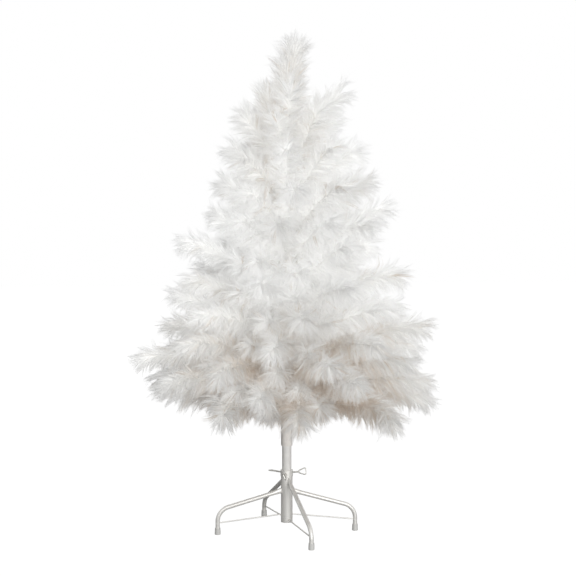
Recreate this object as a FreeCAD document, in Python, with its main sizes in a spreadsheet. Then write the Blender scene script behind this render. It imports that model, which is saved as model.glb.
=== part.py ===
import FreeCAD, Part
import math
import os
import Sketcher

# A pampas grass Christmas tree on a folding four-leg steel stand.
# Millimetres, +Z up, origin on the floor under the middle of the pole.
# The fixed pair of legs lies along X, and the swivel pair crosses it.

# Driving sizes

SIZES = (
    ("tree_height", 1500.0, "floor to the tip of the leader plume"),
    ("skirt_radius", 462.0, "reach of the widest plumes from the pole axis"),
    ("pole_diameter", 28.0, "outside of the lower pole tube"),
    ("pole_wall", 1.0, "wall of both pole tubes"),
    ("pole_clearance", 0.3, "between the pole and the socket's bore, each side"),
    ("spigot_clearance", 0.09, "between the two pole tubes, each side"),
    ("spigot_length", 80.0, "length of the upper pole inside the lower one"),
    ("stop_collar_height", 8.0, "collar that the upper section stands on"),
    ("core_wall", 1.2, "wall of the socket's core tube"),
    ("socket_diameter", 35.0, "outside of the socket's sleeve and rings"),
    ("collar_diameter", 37.6, "outside of the collar that holds the bolts"),
    ("turning_clearance", 0.08, "between a piece and the shaft or thread it turns on"),
    ("joint_gap", 0.3, "end gap between pieces that move"),
    ("seat_clearance", 0.05, "between a pressed-in piece and its seat, each side"),
    ("socket_bottom_height", 33.0, "floor to the underside of the socket"),
    ("base_flange_thickness", 2.0, "flange that keeps the lower ring on"),
    ("base_plug_height", 5.0, "stub of the base cap inside the core tube, which the pole stands on"),
    ("lower_ring_height", 15.0, "swivel ring of the braces"),
    ("fixed_sleeve_height", 89.0, "sleeve that the fixed legs are welded to"),
    ("upper_ring_height", 34.0, "swivel ring of the legs"),
    ("collar_height", 19.0, "collar that holds the bolts"),
    ("leg_diameter", 13.0, "outside of a leg tube"),
    ("leg_wall", 1.2, "wall of a leg tube"),
    ("foot_radius", 210.0, "pole axis to the middle of a foot"),
    ("leg_bend_radius", 45.0, "centreline radius of a leg's knee"),
    ("leg_root_drop", 10.5, "top of the sleeve or ring to the leg's centreline"),
    ("fixed_knee_height", 74.0, "floor to the corner of a fixed leg's centreline"),
    ("swivel_knee_height", 56.0, "floor to the corner of a swivel leg's centreline"),
    ("crimp_length", 26.0, "flattened stretch of a leg at its root"),
    ("crimp_height", 18.0, "height of the flattened end"),
    ("crimp_thickness", 6.0, "thickness of the flattened end"),
    ("brace_diameter", 4.0, "wire of a brace"),
    ("brace_leg_height", 36.0, "floor to a brace where it meets its leg"),
    ("brace_root_rise", 6.0, "bottom of the fixed sleeve to its braces"),
    ("cap_floor", 4.0, "floor of a foot cap, under the leg tube"),
    ("cap_height", 20.0, "height of a foot cap"),
    ("cap_top_wall", 1.7, "wall of a foot cap at its mouth"),
    ("cap_bottom_wall", 2.5, "wall of a foot cap at its foot"),
    ("cap_edge", 1.2, "bevel round the foot of a cap"),
    ("bolt_diameter", 5.0, "threaded shank of an eye bolt"),
    ("bolt_wire_diameter", 3.6, "wire of an eye bolt's loop"),
    ("loop_start", 31.0, "pole axis to the inner corner of a loop"),
    ("loop_length", 32.0, "length of a loop along its bolt"),
    ("loop_half_width", 11.5, "half the width of a loop at its outer end"),
    ("loop_corner_radius", 4.0, "centreline radius of a loop's corners"),
    ("plug_flange_thickness", 4.0, "flange of the pole's end plug"),
    ("plug_stem_height", 15.0, "stem of the end plug inside the pole"),
    ("wrap_wall", 0.7, "thickness of the tape wrap"),
    ("wrap_start_height", 268.0, "floor to the bottom edge of the tape wrap"),
    ("wrap_clearance", 0.15, "between a wire and the tape round it"),
    ("wire_diameter", 2.2, "steel wire that carries a plume"),
    ("wire_bend_radius", 5.0, "centreline radius where a wire leaves the pole"),
    ("bound_length", 12.0, "stretch of each wire bound along the pole"),
    ("inner_wire_length", 44.0, "wire of a plume in the inner ring, from its bend to the plume"),
    ("first_tier_height", 375.0, "floor to where the lowest wires leave the pole"),
    ("last_tier_height", 1136.0, "floor to where the highest wires leave the pole"),
    ("tip_scatter", 36.0, "spread of the heights of a tier's tips"),
    ("section_gap", 73.0, "last root of the lower section to the top of its pole"),
    ("plume_length", 262.0, "length of a full-sized plume"),
    ("plume_radius", 25.0, "radius of a full-sized plume"),
    ("leader_wire_diameter", 3.2, "wire that carries the top plume"),
    ("leader_plume_length", 262.0, "length of the top plume"),
    ("top_plug_flange", 3.0, "flange of the plug in the top of the pole"),
    ("top_plug_stem", 22.0, "stem of that plug inside the pole"),
    ("pole_top_margin", 41.0, "highest root to the top of the upper pole"),
)

# Angles in degrees

SWIVEL_AZIMUTH = -76.9
BOLT_AZIMUTHS = (("eye_bolt_front", -103.9), ("eye_bolt_right", 16.1), ("eye_bolt_left", 136.1))
BOLT_ROLLS = {"eye_bolt_front": 118.0, "eye_bolt_right": 80.0, "eye_bolt_left": 8.0}
FULL_TURN = 360.0
UPRIGHT = 90.0

# The twelve tiers of plumes, lowest first; the fuller ones have an inner ring between the outer plumes

LOWER_TIERS = 7
RINGS_PER_TIER = (2, 2, 2, 2, 2, 2, 2, 1, 1, 1, 1, 1)
PLUMES_PER_RING = (8, 8, 8, 8, 7, 7, 6, 11, 10, 8, 6, 4)
ROOT_HEIGHT_SHARES = (0.0, 0.045, 0.095, 0.155, 0.235, 0.33, 0.43, 0.56, 0.665, 0.785, 0.915, 1.0)
TIP_REACH_SHARES = (0.94, 0.946, 0.965, 0.903, 0.79, 0.715, 0.64, 0.58, 0.495, 0.42, 0.31, 0.27)
TIP_HEIGHT_SHARES = (0.26, 0.315, 0.366, 0.421, 0.478, 0.536, 0.594, 0.652, 0.715, 0.78, 0.845, 0.89)
SIDE_LEAN_SHARES = (0.085, 0.0, -0.035, 0.065, 0.01, 0.055, -0.065, 0.13, 0.13, 0.085, 0.065, 0.33)
DROOPS = (36.0, 34.0, 32.0, 30.0, 28.0, 26.0, 24.0, 22.0, 20.0, 18.0, 14.0, 10.0)
TIER_TURNS = (0.0, 25.0, 9.0, 33.0, 14.0, 40.0, 5.0, 28.0, 17.0, 36.0, 11.0, -2.0)
PLUME_LENGTH_SHARES = (1.0, 1.0, 1.0, 1.0, 0.98, 0.95, 0.92, 0.91, 0.87, 0.79, 0.75, 0.72)
PLUME_RADIUS_SHARES = (1.0, 1.0, 1.0, 1.0, 1.0, 0.97, 0.95, 0.92, 0.86, 0.84, 0.82, 0.78)
INNER_REACH_SHARE = 0.68

# The side that some tiers lean to, and how far the plumes of a tier wander from an even spread

SIDE_AZIMUTH = -6.9
AZIMUTH_WANDER = 4.0
REACH_WANDER_SHARE = 0.05
DROOP_WANDER_SHARE = 0.25
AZIMUTH_STRIDE = 0.618
REACH_STRIDE = 0.382
HEIGHT_STRIDE = 0.755
DROOP_STRIDE = 0.271

# How a plume swells along its length: shares of its length and of its radius

PLUME_STATION_SHARES = (0.0, 0.1, 0.28, 0.52, 0.76, 0.93, 1.0)
PLUME_SWELL_SHARES = (0.14, 0.5, 0.86, 1.0, 0.95, 0.7, 0.3)
LEADER_LEAN = 6.0

document = FreeCAD.newDocument("pampas_tree")


def make_sheet():
    """The spreadsheet of driving sizes, one alias for each."""
    sheet = document.addObject("Spreadsheet::Sheet", "Sizes")
    for row, (alias, value, meaning) in enumerate(SIZES, start=1):
        sheet.set(f"A{row}", meaning)
        sheet.set(f"B{row}", str(value))
        sheet.setAlias(f"B{row}", alias)
    document.recompute()
    return sheet


sizes = make_sheet()


def size(alias):
    """A driving size as a plain number."""
    return float(sizes.get(alias))


# Sizes that follow from the driving ones, as expressions on the sheet

POLE_RADIUS = "Sizes.pole_diameter / 2"
POLE_BORE = "(Sizes.pole_diameter / 2 - Sizes.pole_wall)"
UPPER_POLE_RADIUS = f"({POLE_BORE} - Sizes.spigot_clearance)"
UPPER_POLE_BORE = f"({UPPER_POLE_RADIUS} - Sizes.pole_wall)"
CORE_BORE = "(Sizes.pole_diameter / 2 + Sizes.pole_clearance)"
CORE_RADIUS = f"({CORE_BORE} + Sizes.core_wall)"
RING_BORE = f"({CORE_RADIUS} + Sizes.turning_clearance)"
SOCKET_RADIUS = "Sizes.socket_diameter / 2"
FLANGE_TOP = "(Sizes.socket_bottom_height + Sizes.base_flange_thickness)"
BASE_TOP = f"({FLANGE_TOP} + Sizes.base_plug_height)"
LOWER_RING_BOTTOM = f"({FLANGE_TOP} + Sizes.joint_gap)"
LOWER_RING_TOP = f"({LOWER_RING_BOTTOM} + Sizes.lower_ring_height)"
SLEEVE_BOTTOM = f"({LOWER_RING_TOP} + Sizes.joint_gap)"
SLEEVE_TOP = f"({SLEEVE_BOTTOM} + Sizes.fixed_sleeve_height)"
UPPER_RING_BOTTOM = f"({SLEEVE_TOP} + Sizes.joint_gap)"
UPPER_RING_TOP = f"({UPPER_RING_BOTTOM} + Sizes.upper_ring_height)"
COLLAR_BOTTOM = f"({UPPER_RING_TOP} + Sizes.joint_gap)"
COLLAR_TOP = f"({COLLAR_BOTTOM} + Sizes.collar_height)"
BOLT_HEIGHT = f"({COLLAR_BOTTOM} + Sizes.collar_height / 2)"
PLUG_BOTTOM = f"({BASE_TOP} + Sizes.joint_gap)"
PLUG_FLANGE_TOP = f"({PLUG_BOTTOM} + Sizes.plug_flange_thickness)"
POLE_BOTTOM = f"({PLUG_FLANGE_TOP} + Sizes.joint_gap)"
TREE_RISE = "(Sizes.last_tier_height - Sizes.first_tier_height)"
LAST_LOWER_ROOT = f"(Sizes.first_tier_height + {ROOT_HEIGHT_SHARES[LOWER_TIERS - 1]} * {TREE_RISE})"
LOWER_POLE_TOP = f"({LAST_LOWER_ROOT} + Sizes.section_gap)"
STOP_BOTTOM = f"({LOWER_POLE_TOP} + Sizes.joint_gap)"
STOP_TOP = f"({STOP_BOTTOM} + Sizes.stop_collar_height)"
UPPER_POLE_TOP = "(Sizes.last_tier_height + Sizes.pole_top_margin)"


def worked_out(expression):
    """The number that an expression on the sheet gives now."""
    return float(sizes.evalExpression(expression))


# Helpers for bodies and sketches

def origin_plane(body, role):
    """The plane of a body's own origin that has this role."""
    for feature in body.Origin.OriginFeatures:
        if feature.Role == role:
            return feature
    raise RuntimeError(f"{body.Name} has no {role}")


def new_body(name):
    """An empty body whose label is the node's name."""
    body = document.addObject("PartDesign::Body", name)
    body.Label = name
    return body


def new_sketch(body, name, role):
    """A sketch on one of the body's own origin planes."""
    sketch = body.newObject("Sketcher::SketchObject", name)
    sketch.AttachmentSupport = [(origin_plane(body, role), "")]
    sketch.MapMode = "FlatFace"
    return sketch


def bind(sketch, constraint, expression):
    """Adds a constraint and ties its value to an expression on the sheet."""
    index = sketch.addConstraint(constraint)
    name = f"bound_{index}"
    sketch.renameConstraint(index, name)
    sketch.setExpression(f"Constraints.{name}", expression)


def draw_profile(sketch, corners):
    """A closed outline of straight lines; each corner is a pair of expressions, or 0 on an axis."""
    points = [tuple(worked_out(str(value)) for value in corner) for corner in corners]
    lines = []
    for start, end in zip(points, points[1:] + points[:1]):
        segment = Part.LineSegment(FreeCAD.Vector(*start, 0), FreeCAD.Vector(*end, 0))
        lines.append(sketch.addGeometry(segment, False))
    for line, following in zip(lines, lines[1:] + lines[:1]):
        sketch.addConstraint(Sketcher.Constraint("Coincident", line, 2, following, 1))
    for line, (across, up) in zip(lines, corners):
        if across == 0:
            sketch.addConstraint(Sketcher.Constraint("PointOnObject", line, 1, -2))
        else:
            value = worked_out(across)
            bind(sketch, Sketcher.Constraint("DistanceX", -1, 1, line, 1, value), across)
        if up == 0:
            sketch.addConstraint(Sketcher.Constraint("PointOnObject", line, 1, -1))
        else:
            value = worked_out(up)
            bind(sketch, Sketcher.Constraint("DistanceY", -1, 1, line, 1, value), up)


def turned(name, corners):
    """A piece turned about Z from an outline of (radius, height) corners."""
    body = new_body(name)
    sketch = new_sketch(body, f"{name}_outline", "XZ_Plane")
    draw_profile(sketch, corners)
    turn = body.newObject("PartDesign::Revolution", f"{name}_turned")
    turn.Profile = sketch
    turn.ReferenceAxis = (sketch, ["V_Axis"])
    turn.Angle = FULL_TURN
    return body


def turned_tube(name, bore, radius, bottom, top):
    """A plain round tube on the Z axis."""
    return turned(name, ((bore, bottom), (radius, bottom), (radius, top), (bore, top)))


def rod(name, radius, length):
    """A round rod standing on the origin of its own frame."""
    cylinder = document.addObject("Part::Cylinder", name)
    cylinder.setExpression("Radius", radius)
    cylinder.setExpression("Height", length)
    return cylinder


def cut(name, base, tool):
    """The base piece with the tool's space taken out."""
    result = document.addObject("Part::Cut", name)
    result.Base = base
    result.Tool = tool
    return result


def about_z(piece, angle):
    """Turns a finished piece about the pole axis."""
    piece.Placement = FreeCAD.Placement(FreeCAD.Vector(), FreeCAD.Rotation(FreeCAD.Vector(0, 0, 1), angle))


# The socket

def drill_bolt_holes(body):
    """Three radial holes for the eye bolts, all round from the first."""
    name = body.Label
    sketch = new_sketch(body, f"{name}_hole", "YZ_Plane")
    circle = Part.Circle(FreeCAD.Vector(0, worked_out(BOLT_HEIGHT), 0), FreeCAD.Vector(0, 0, 1), 1)
    hole = sketch.addGeometry(circle, False)
    sketch.addConstraint(Sketcher.Constraint("PointOnObject", hole, 3, -2))
    height = worked_out(BOLT_HEIGHT)
    bind(sketch, Sketcher.Constraint("DistanceY", -1, 1, hole, 3, height), BOLT_HEIGHT)
    radius = "Sizes.bolt_diameter / 2 + Sizes.turning_clearance"
    bind(sketch, Sketcher.Constraint("Radius", hole, worked_out(radius)), radius)
    document.recompute()
    before = body.Shape.Volume
    pocket = body.newObject("PartDesign::Pocket", f"{name}_drilled")
    pocket.Profile = sketch
    pocket.Type = "Length"
    pocket.Reversed = True
    pocket.setExpression("Length", "Sizes.collar_diameter")
    document.recompute()
    pattern = body.newObject("PartDesign::PolarPattern", f"{name}_holes")
    pattern.Originals = [pocket]
    pattern.Axis = (sketch, ["V_Axis"])
    pattern.Angle = FULL_TURN
    pattern.Occurrences = len(BOLT_AZIMUTHS)
    body.Tip = pattern
    document.recompute()
    if not body.Shape.Volume < before:
        raise RuntimeError(f"the holes in {name} cut nothing")
    about_z(body, BOLT_AZIMUTHS[0][1])


def make_socket():
    """Core tube, base cap, sleeve and collar: the fixed pieces that hold the pole."""
    core = turned_tube("core_tube", CORE_BORE, CORE_RADIUS, FLANGE_TOP, COLLAR_TOP)
    drill_bolt_holes(core)
    collar = turned_tube("bolt_collar", CORE_RADIUS, "Sizes.collar_diameter / 2", COLLAR_BOTTOM, COLLAR_TOP)
    drill_bolt_holes(collar)
    turned_tube("fixed_sleeve", CORE_RADIUS, SOCKET_RADIUS, SLEEVE_BOTTOM, SLEEVE_TOP)
    stub = f"({CORE_BORE} - Sizes.seat_clearance)"
    turned("base_cap", (
        (0, "Sizes.socket_bottom_height"),
        (SOCKET_RADIUS, "Sizes.socket_bottom_height"),
        (SOCKET_RADIUS, FLANGE_TOP),
        (stub, FLANGE_TOP),
        (stub, BASE_TOP),
        (0, BASE_TOP),
    ))
    turned_tube("swivel_ring_lower", RING_BORE, SOCKET_RADIUS, LOWER_RING_BOTTOM, LOWER_RING_TOP)
    turned_tube("swivel_ring_upper", RING_BORE, SOCKET_RADIUS, UPPER_RING_BOTTOM, UPPER_RING_TOP)


# Legs, braces and feet

def leg_spine(name, root_height, knee_height):
    """Centreline of a leg from its foot up, round the knee and in to the sleeve, as a sketch in XZ."""
    foot = size("foot_radius")
    low = size("cap_floor")
    knee = worked_out(knee_height)
    root = worked_out(root_height)
    inner = worked_out(f"{SOCKET_RADIUS} + Sizes.crimp_length")
    socket = worked_out(SOCKET_RADIUS)
    slope = math.atan2(root - knee, foot - socket)
    bend = size("leg_bend_radius")
    tangent = bend * math.tan((math.pi / 2 - slope) / 2)
    centre = FreeCAD.Vector(foot - bend, knee - tangent, 0)
    knee_start = FreeCAD.Vector(foot, knee - tangent, 0)
    knee_end = FreeCAD.Vector(foot - tangent * math.cos(slope), knee + tangent * math.sin(slope), 0)
    inner_point = FreeCAD.Vector(inner, root - (inner - socket) * math.tan(slope), 0)

    sketch = document.addObject("Sketcher::SketchObject", name)
    sketch.Placement = FreeCAD.Placement(
        FreeCAD.Vector(), FreeCAD.Rotation(FreeCAD.Vector(1, 0, 0), UPRIGHT)
    )
    shin = sketch.addGeometry(Part.LineSegment(FreeCAD.Vector(foot, low, 0), knee_start), False)
    circle = Part.Circle(centre, FreeCAD.Vector(0, 0, 1), bend)
    arc = sketch.addGeometry(Part.ArcOfCircle(circle, 0, math.pi / 2 - slope), False)
    thigh = sketch.addGeometry(Part.LineSegment(knee_end, inner_point), False)
    corner = FreeCAD.Vector(foot, knee, 0)
    root_point = FreeCAD.Vector(socket, root, 0)
    guide = sketch.addGeometry(Part.LineSegment(corner, root_point), True)
    sketch.addConstraint(Sketcher.Constraint("Vertical", shin))
    sketch.addConstraint(Sketcher.Constraint("Tangent", shin, 2, arc, 1))
    sketch.addConstraint(Sketcher.Constraint("Tangent", arc, 2, thigh, 1))
    sketch.addConstraint(Sketcher.Constraint("PointOnObject", guide, 2, thigh))
    sketch.addConstraint(Sketcher.Constraint("PointOnObject", guide, 1, thigh))
    sketch.addConstraint(Sketcher.Constraint("PointOnObject", guide, 1, shin))
    bind(sketch, Sketcher.Constraint("DistanceX", -1, 1, shin, 1, foot), "Sizes.foot_radius")
    bind(sketch, Sketcher.Constraint("DistanceY", -1, 1, shin, 1, low), "Sizes.cap_floor")
    bind(sketch, Sketcher.Constraint("DistanceY", -1, 1, guide, 1, knee), knee_height)
    bind(sketch, Sketcher.Constraint("DistanceY", -1, 1, guide, 2, root), root_height)
    bind(sketch, Sketcher.Constraint("DistanceX", -1, 1, guide, 2, socket), SOCKET_RADIUS)
    crimp_start = f"{SOCKET_RADIUS} + Sizes.crimp_length"
    bind(sketch, Sketcher.Constraint("DistanceX", -1, 1, thigh, 2, inner), crimp_start)
    bind(sketch, Sketcher.Constraint("Radius", arc, bend), "Sizes.leg_bend_radius")
    return sketch, slope


def swept_along(name, spine, radius):
    """A round rod of this radius along a leg's centreline."""
    ring = document.addObject("Part::Circle", f"{name}_section")
    ring.setExpression("Radius", radius)
    ring.setExpression("Placement.Base.x", "Sizes.foot_radius")
    ring.setExpression("Placement.Base.z", "Sizes.cap_floor")
    sweep = document.addObject("Part::Sweep", name)
    sweep.Sections = [ring]
    sweep.Spine = (spine, [f"Edge{number}" for number in (1, 2, 3)])
    sweep.Solid = True
    return sweep


def crimp_section(name, across, up, distance, height, slope):
    """An oval across the leg's centreline at this distance from the pole axis."""
    oval = document.addObject("Part::Ellipse", name)
    oval.setExpression("MajorRadius", up)
    oval.setExpression("MinorRadius", across)
    tilt = FreeCAD.Rotation(FreeCAD.Vector(0, 1, 0), math.degrees(slope) - UPRIGHT)
    oval.Placement = FreeCAD.Placement(FreeCAD.Vector(distance, 0, height), tilt)
    return oval


def make_leg(name, root_height, knee_height, azimuths):
    """A pair of leg tubes with flattened roots, cut to sit on the sleeve; gives the solid outline too."""
    spine, slope = leg_spine(f"{name}_centreline", root_height, knee_height)
    outline = swept_along(f"{name}_outline", spine, "Sizes.leg_diameter / 2")
    bore = swept_along(f"{name}_bore", spine, "Sizes.leg_diameter / 2 - Sizes.leg_wall")
    tube = cut(f"{name}_tube", outline, bore)
    socket = worked_out(SOCKET_RADIUS)
    root = worked_out(root_height)
    rise = math.tan(slope)
    far = worked_out(f"{SOCKET_RADIUS} + Sizes.crimp_length")
    near = socket / 2
    half_leg = "Sizes.leg_diameter / 2"
    round_end = crimp_section(f"{name}_round", half_leg, half_leg, far, root - (far - socket) * rise, slope)
    flat_end = crimp_section(
        f"{name}_flat", "Sizes.crimp_thickness / 2", "Sizes.crimp_height / 2",
        near, root - (near - socket) * rise, slope,
    )
    crimp = document.addObject("Part::Loft", f"{name}_crimp")
    crimp.Sections = [round_end, flat_end]
    crimp.Solid = True
    crimp.Ruled = True
    sleeve_space = rod(f"{name}_sleeve_space", SOCKET_RADIUS, COLLAR_TOP)
    seated = cut(f"{name}_seated", crimp, sleeve_space)
    for label, azimuth in azimuths:
        leg = document.addObject("Part::Fuse", label)
        leg.Label = label
        leg.Base = tube
        leg.Tool = seated
        about_z(leg, azimuth)
    return outline


def make_brace(name, root_height, leg_outline, azimuths):
    """Straight brace wires from the sleeve or ring to the legs, cut to sit on both."""
    start = worked_out(SOCKET_RADIUS) / 2
    end = size("foot_radius")
    low = size("brace_leg_height")
    leg_face = end - size("leg_diameter") / 2
    high = worked_out(root_height)
    fall = (high - low) / (leg_face - worked_out(SOCKET_RADIUS))
    start_height = high + fall * (worked_out(SOCKET_RADIUS) - start)
    wire = rod(f"{name}_wire", "Sizes.brace_diameter / 2", f"Sizes.foot_radius - {SOCKET_RADIUS} / 2")
    tilt = FreeCAD.Rotation(FreeCAD.Vector(0, 1, 0), UPRIGHT + math.degrees(math.atan(fall)))
    wire.Placement = FreeCAD.Placement(FreeCAD.Vector(start, 0, start_height), tilt)
    sleeve_space = rod(f"{name}_sleeve_space", SOCKET_RADIUS, COLLAR_TOP)
    seated = cut(f"{name}_seated", wire, sleeve_space)
    for label, azimuth in azimuths:
        brace = cut(label, seated, leg_outline)
        brace.Label = label
        about_z(brace, azimuth)


def make_foot(name, azimuth):
    """A flared plastic cap on the end of a leg, turned about the leg's own axis."""
    bore = "(Sizes.leg_diameter / 2 + Sizes.seat_clearance)"
    mouth = f"({bore} + Sizes.cap_top_wall)"
    foot = f"({bore} + Sizes.cap_bottom_wall)"
    body = turned(name, (
        (0, 0),
        (f"({foot} - Sizes.cap_edge)", 0),
        (foot, "Sizes.cap_edge"),
        (mouth, "Sizes.cap_height"),
        (bore, "Sizes.cap_height"),
        (bore, "Sizes.cap_floor"),
        (0, "Sizes.cap_floor"),
    ))
    angle = math.radians(azimuth)
    body.setExpression("Placement.Base.x", f"Sizes.foot_radius * {math.cos(angle)}")
    body.setExpression("Placement.Base.y", f"Sizes.foot_radius * {math.sin(angle)}")


def make_legs():
    """Both pairs of legs with their braces and feet."""
    half_turn = FULL_TURN / 2
    fixed_root = f"({SLEEVE_TOP} - Sizes.leg_root_drop)"
    swivel_root = f"({UPPER_RING_TOP} - Sizes.leg_root_drop)"
    fixed = (("right", 0.0), ("left", half_turn))
    swivel = (("front", SWIVEL_AZIMUTH), ("back", SWIVEL_AZIMUTH + half_turn))
    fixed_outline = make_leg(
        "fixed_leg", fixed_root, "Sizes.fixed_knee_height",
        [(f"leg_{side}", turn) for side, turn in fixed],
    )
    swivel_outline = make_leg(
        "swivel_leg", swivel_root, "Sizes.swivel_knee_height",
        [(f"leg_{side}", turn) for side, turn in swivel],
    )
    make_brace(
        "fixed_brace", f"({SLEEVE_BOTTOM} + Sizes.brace_root_rise)", fixed_outline,
        [(f"brace_{side}", turn) for side, turn in fixed],
    )
    make_brace(
        "swivel_brace", f"({LOWER_RING_BOTTOM} + Sizes.lower_ring_height / 2)", swivel_outline,
        [(f"brace_{side}", turn) for side, turn in swivel],
    )
    for side, turn in fixed + swivel:
        make_foot(f"foot_cap_{side}", turn)


# Eye bolts

def loop_wire():
    """Centreline of a loop in XY: a triangle with its inner corner on the bolt and all corners rounded."""
    start = size("loop_start")
    length = size("loop_length")
    half = size("loop_half_width")
    radius = size("loop_corner_radius")
    corners = [
        FreeCAD.Vector(start, 0, 0),
        FreeCAD.Vector(start + length, -half, 0),
        FreeCAD.Vector(start + length, half, 0),
    ]
    arcs = []
    for before, corner, after in zip(corners[-1:] + corners[:-1], corners, corners[1:] + corners[:1]):
        towards = (before - corner).normalize()
        away = (after - corner).normalize()
        half_angle = towards.getAngle(away) / 2
        reach = radius / math.tan(half_angle)
        middle = (towards + away).normalize()
        centre = corner + middle * (radius / math.sin(half_angle))
        arcs.append(Part.Arc(corner + towards * reach, centre - middle * radius, corner + away * reach))
    edges = []
    for arc, following in zip(arcs, arcs[1:] + arcs[:1]):
        edges.append(arc.toShape())
        edges.append(Part.LineSegment(arc.EndPoint, following.StartPoint).toShape())
    return Part.Wire(edges)


def make_eye_bolt(name, azimuth, roll):
    """A threaded shank with a closed wire loop to turn it by."""
    tip = worked_out(f"{POLE_RADIUS} + Sizes.joint_gap")
    wire_radius = size("bolt_wire_diameter") / 2
    path = loop_wire()
    first = path.OrderedEdges[1]
    point = first.valueAt(first.FirstParameter)
    section = Part.Wire(Part.Circle(point, first.tangentAt(first.FirstParameter), wire_radius).toShape())
    spine = Part.Wire(path.OrderedEdges[1:] + path.OrderedEdges[:1])
    loop = spine.makePipeShell([section], True, False)
    outward = FreeCAD.Vector(1, 0, 0)
    nearest = min(vertex.X for vertex in path.Vertexes)
    shank = Part.makeCylinder(size("bolt_diameter") / 2, nearest - tip, outward * tip, outward)
    bolt = document.addObject("Part::Feature", name)
    bolt.Label = name
    bolt.Shape = shank.fuse(loop).removeSplitter()
    turn = FreeCAD.Rotation(FreeCAD.Vector(0, 0, 1), azimuth)
    spin = FreeCAD.Rotation(outward, roll)
    bolt.Placement = FreeCAD.Placement(FreeCAD.Vector(0, 0, worked_out(BOLT_HEIGHT)), turn * spin)


# The two pole sections

def make_poles():
    """End plug, lower pole, upper pole with its stop collar, and the plug at the top."""
    stem = f"({POLE_BORE} - Sizes.turning_clearance)"
    turned("pole_end_plug", (
        (0, PLUG_BOTTOM),
        (POLE_RADIUS, PLUG_BOTTOM),
        (POLE_RADIUS, PLUG_FLANGE_TOP),
        (stem, PLUG_FLANGE_TOP),
        (stem, f"({PLUG_FLANGE_TOP} + Sizes.plug_stem_height)"),
        (0, f"({PLUG_FLANGE_TOP} + Sizes.plug_stem_height)"),
    ))
    turned_tube("lower_pole", POLE_BORE, POLE_RADIUS, POLE_BOTTOM, LOWER_POLE_TOP)
    spigot_bottom = f"({LOWER_POLE_TOP} - Sizes.spigot_length)"
    turned_tube("upper_pole", UPPER_POLE_BORE, UPPER_POLE_RADIUS, spigot_bottom, UPPER_POLE_TOP)
    turned_tube("stop_collar", UPPER_POLE_RADIUS, POLE_RADIUS, STOP_BOTTOM, STOP_TOP)
    plug = f"({UPPER_POLE_BORE} - Sizes.seat_clearance)"
    plug_bottom = f"({UPPER_POLE_TOP} - Sizes.top_plug_stem)"
    plug_top = f"({UPPER_POLE_TOP} + Sizes.top_plug_flange)"
    socket = "Sizes.leader_wire_diameter / 2"
    turned("top_plug", (
        (0, plug_bottom),
        (plug, plug_bottom),
        (plug, UPPER_POLE_TOP),
        (UPPER_POLE_RADIUS, UPPER_POLE_TOP),
        (UPPER_POLE_RADIUS, plug_top),
        (socket, plug_top),
        (socket, f"({plug_bottom} + Sizes.top_plug_flange)"),
        (0, f"({plug_bottom} + Sizes.top_plug_flange)"),
    ))


# Branches: each is a bound wire that bends out of the pole and carries one plume

def wander(number, stride):
    """An even, unrepeating spread between -0.5 and 0.5 for the plume of this number."""
    return (number * stride) % 1.0 - 0.5


def bind_radius(tier):
    """Pole axis to the middle of a wire bound along the pole."""
    pole = worked_out(POLE_RADIUS if tier < LOWER_TIERS else UPPER_POLE_RADIUS)
    return pole + size("wire_diameter") / 2 + size("seat_clearance")


def wrap_bore(pole_radius):
    """Bore of the tape wrap, which leaves room for the bound wires, as an expression."""
    return f"({pole_radius} + Sizes.seat_clearance + Sizes.wire_diameter + 2 * Sizes.wrap_clearance)"


def root_height(tier):
    """Height at which the wires of a tier leave the pole."""
    return worked_out(f"Sizes.first_tier_height + {ROOT_HEIGHT_SHARES[tier]} * {TREE_RISE}")


def tier_branches(tier):
    """Azimuth, first pitch, bending radius, wire length and plume length of each branch of a tier."""
    rings = RINGS_PER_TIER[tier]
    count = PLUMES_PER_RING[tier] * rings
    below = sum(per_ring * ring for per_ring, ring in zip(PLUMES_PER_RING[:tier], RINGS_PER_TIER[:tier]))
    root = root_height(tier)
    start = bind_radius(tier) + size("wire_bend_radius")
    branches = []
    for number in range(count):
        key = number + 1 + below
        azimuth = TIER_TURNS[tier] + FULL_TURN * number / count
        azimuth += AZIMUTH_WANDER * wander(key, AZIMUTH_STRIDE)
        lean = SIDE_LEAN_SHARES[tier] * math.cos(math.radians(azimuth - SIDE_AZIMUTH))
        lean += REACH_WANDER_SHARE * wander(key, REACH_STRIDE)
        reach = size("skirt_radius") * TIP_REACH_SHARES[tier] * (1 + lean)
        tip = size("tree_height") * TIP_HEIGHT_SHARES[tier]
        tip += size("tip_scatter") * wander(key, HEIGHT_STRIDE)
        droop = math.radians(DROOPS[tier]) * (1 + DROOP_WANDER_SHARE * wander(key, DROOP_STRIDE))
        chord_pitch = math.atan2(tip - root, reach - start)
        chord = math.hypot(tip - root, reach - start)
        bending_radius = chord / (2 * math.sin(droop / 2))
        length = bending_radius * droop
        if number % rings == 1:
            length *= INNER_REACH_SHARE
            plume = length - size("inner_wire_length")
        else:
            plume = size("plume_length") * PLUME_LENGTH_SHARES[tier]
            plume = min(plume, length - size("inner_wire_length"))
        branches.append((azimuth, chord_pitch + droop / 2, bending_radius, length - plume, plume))
    return branches


def direction(pitch):
    """Unit vector in XZ at this pitch above the horizontal."""
    return FreeCAD.Vector(math.cos(pitch), 0, math.sin(pitch))


def above(pitch):
    """Unit vector in XZ square to that direction, on its upper side."""
    return FreeCAD.Vector(-math.sin(pitch), 0, math.cos(pitch))


def branch_point(start, pitch, bending_radius, distance):
    """Point and pitch at a distance along a branch that bends down at a steady rate."""
    here = pitch - distance / bending_radius
    point = start + (above(here) - above(pitch)) * bending_radius
    return point, here


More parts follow.
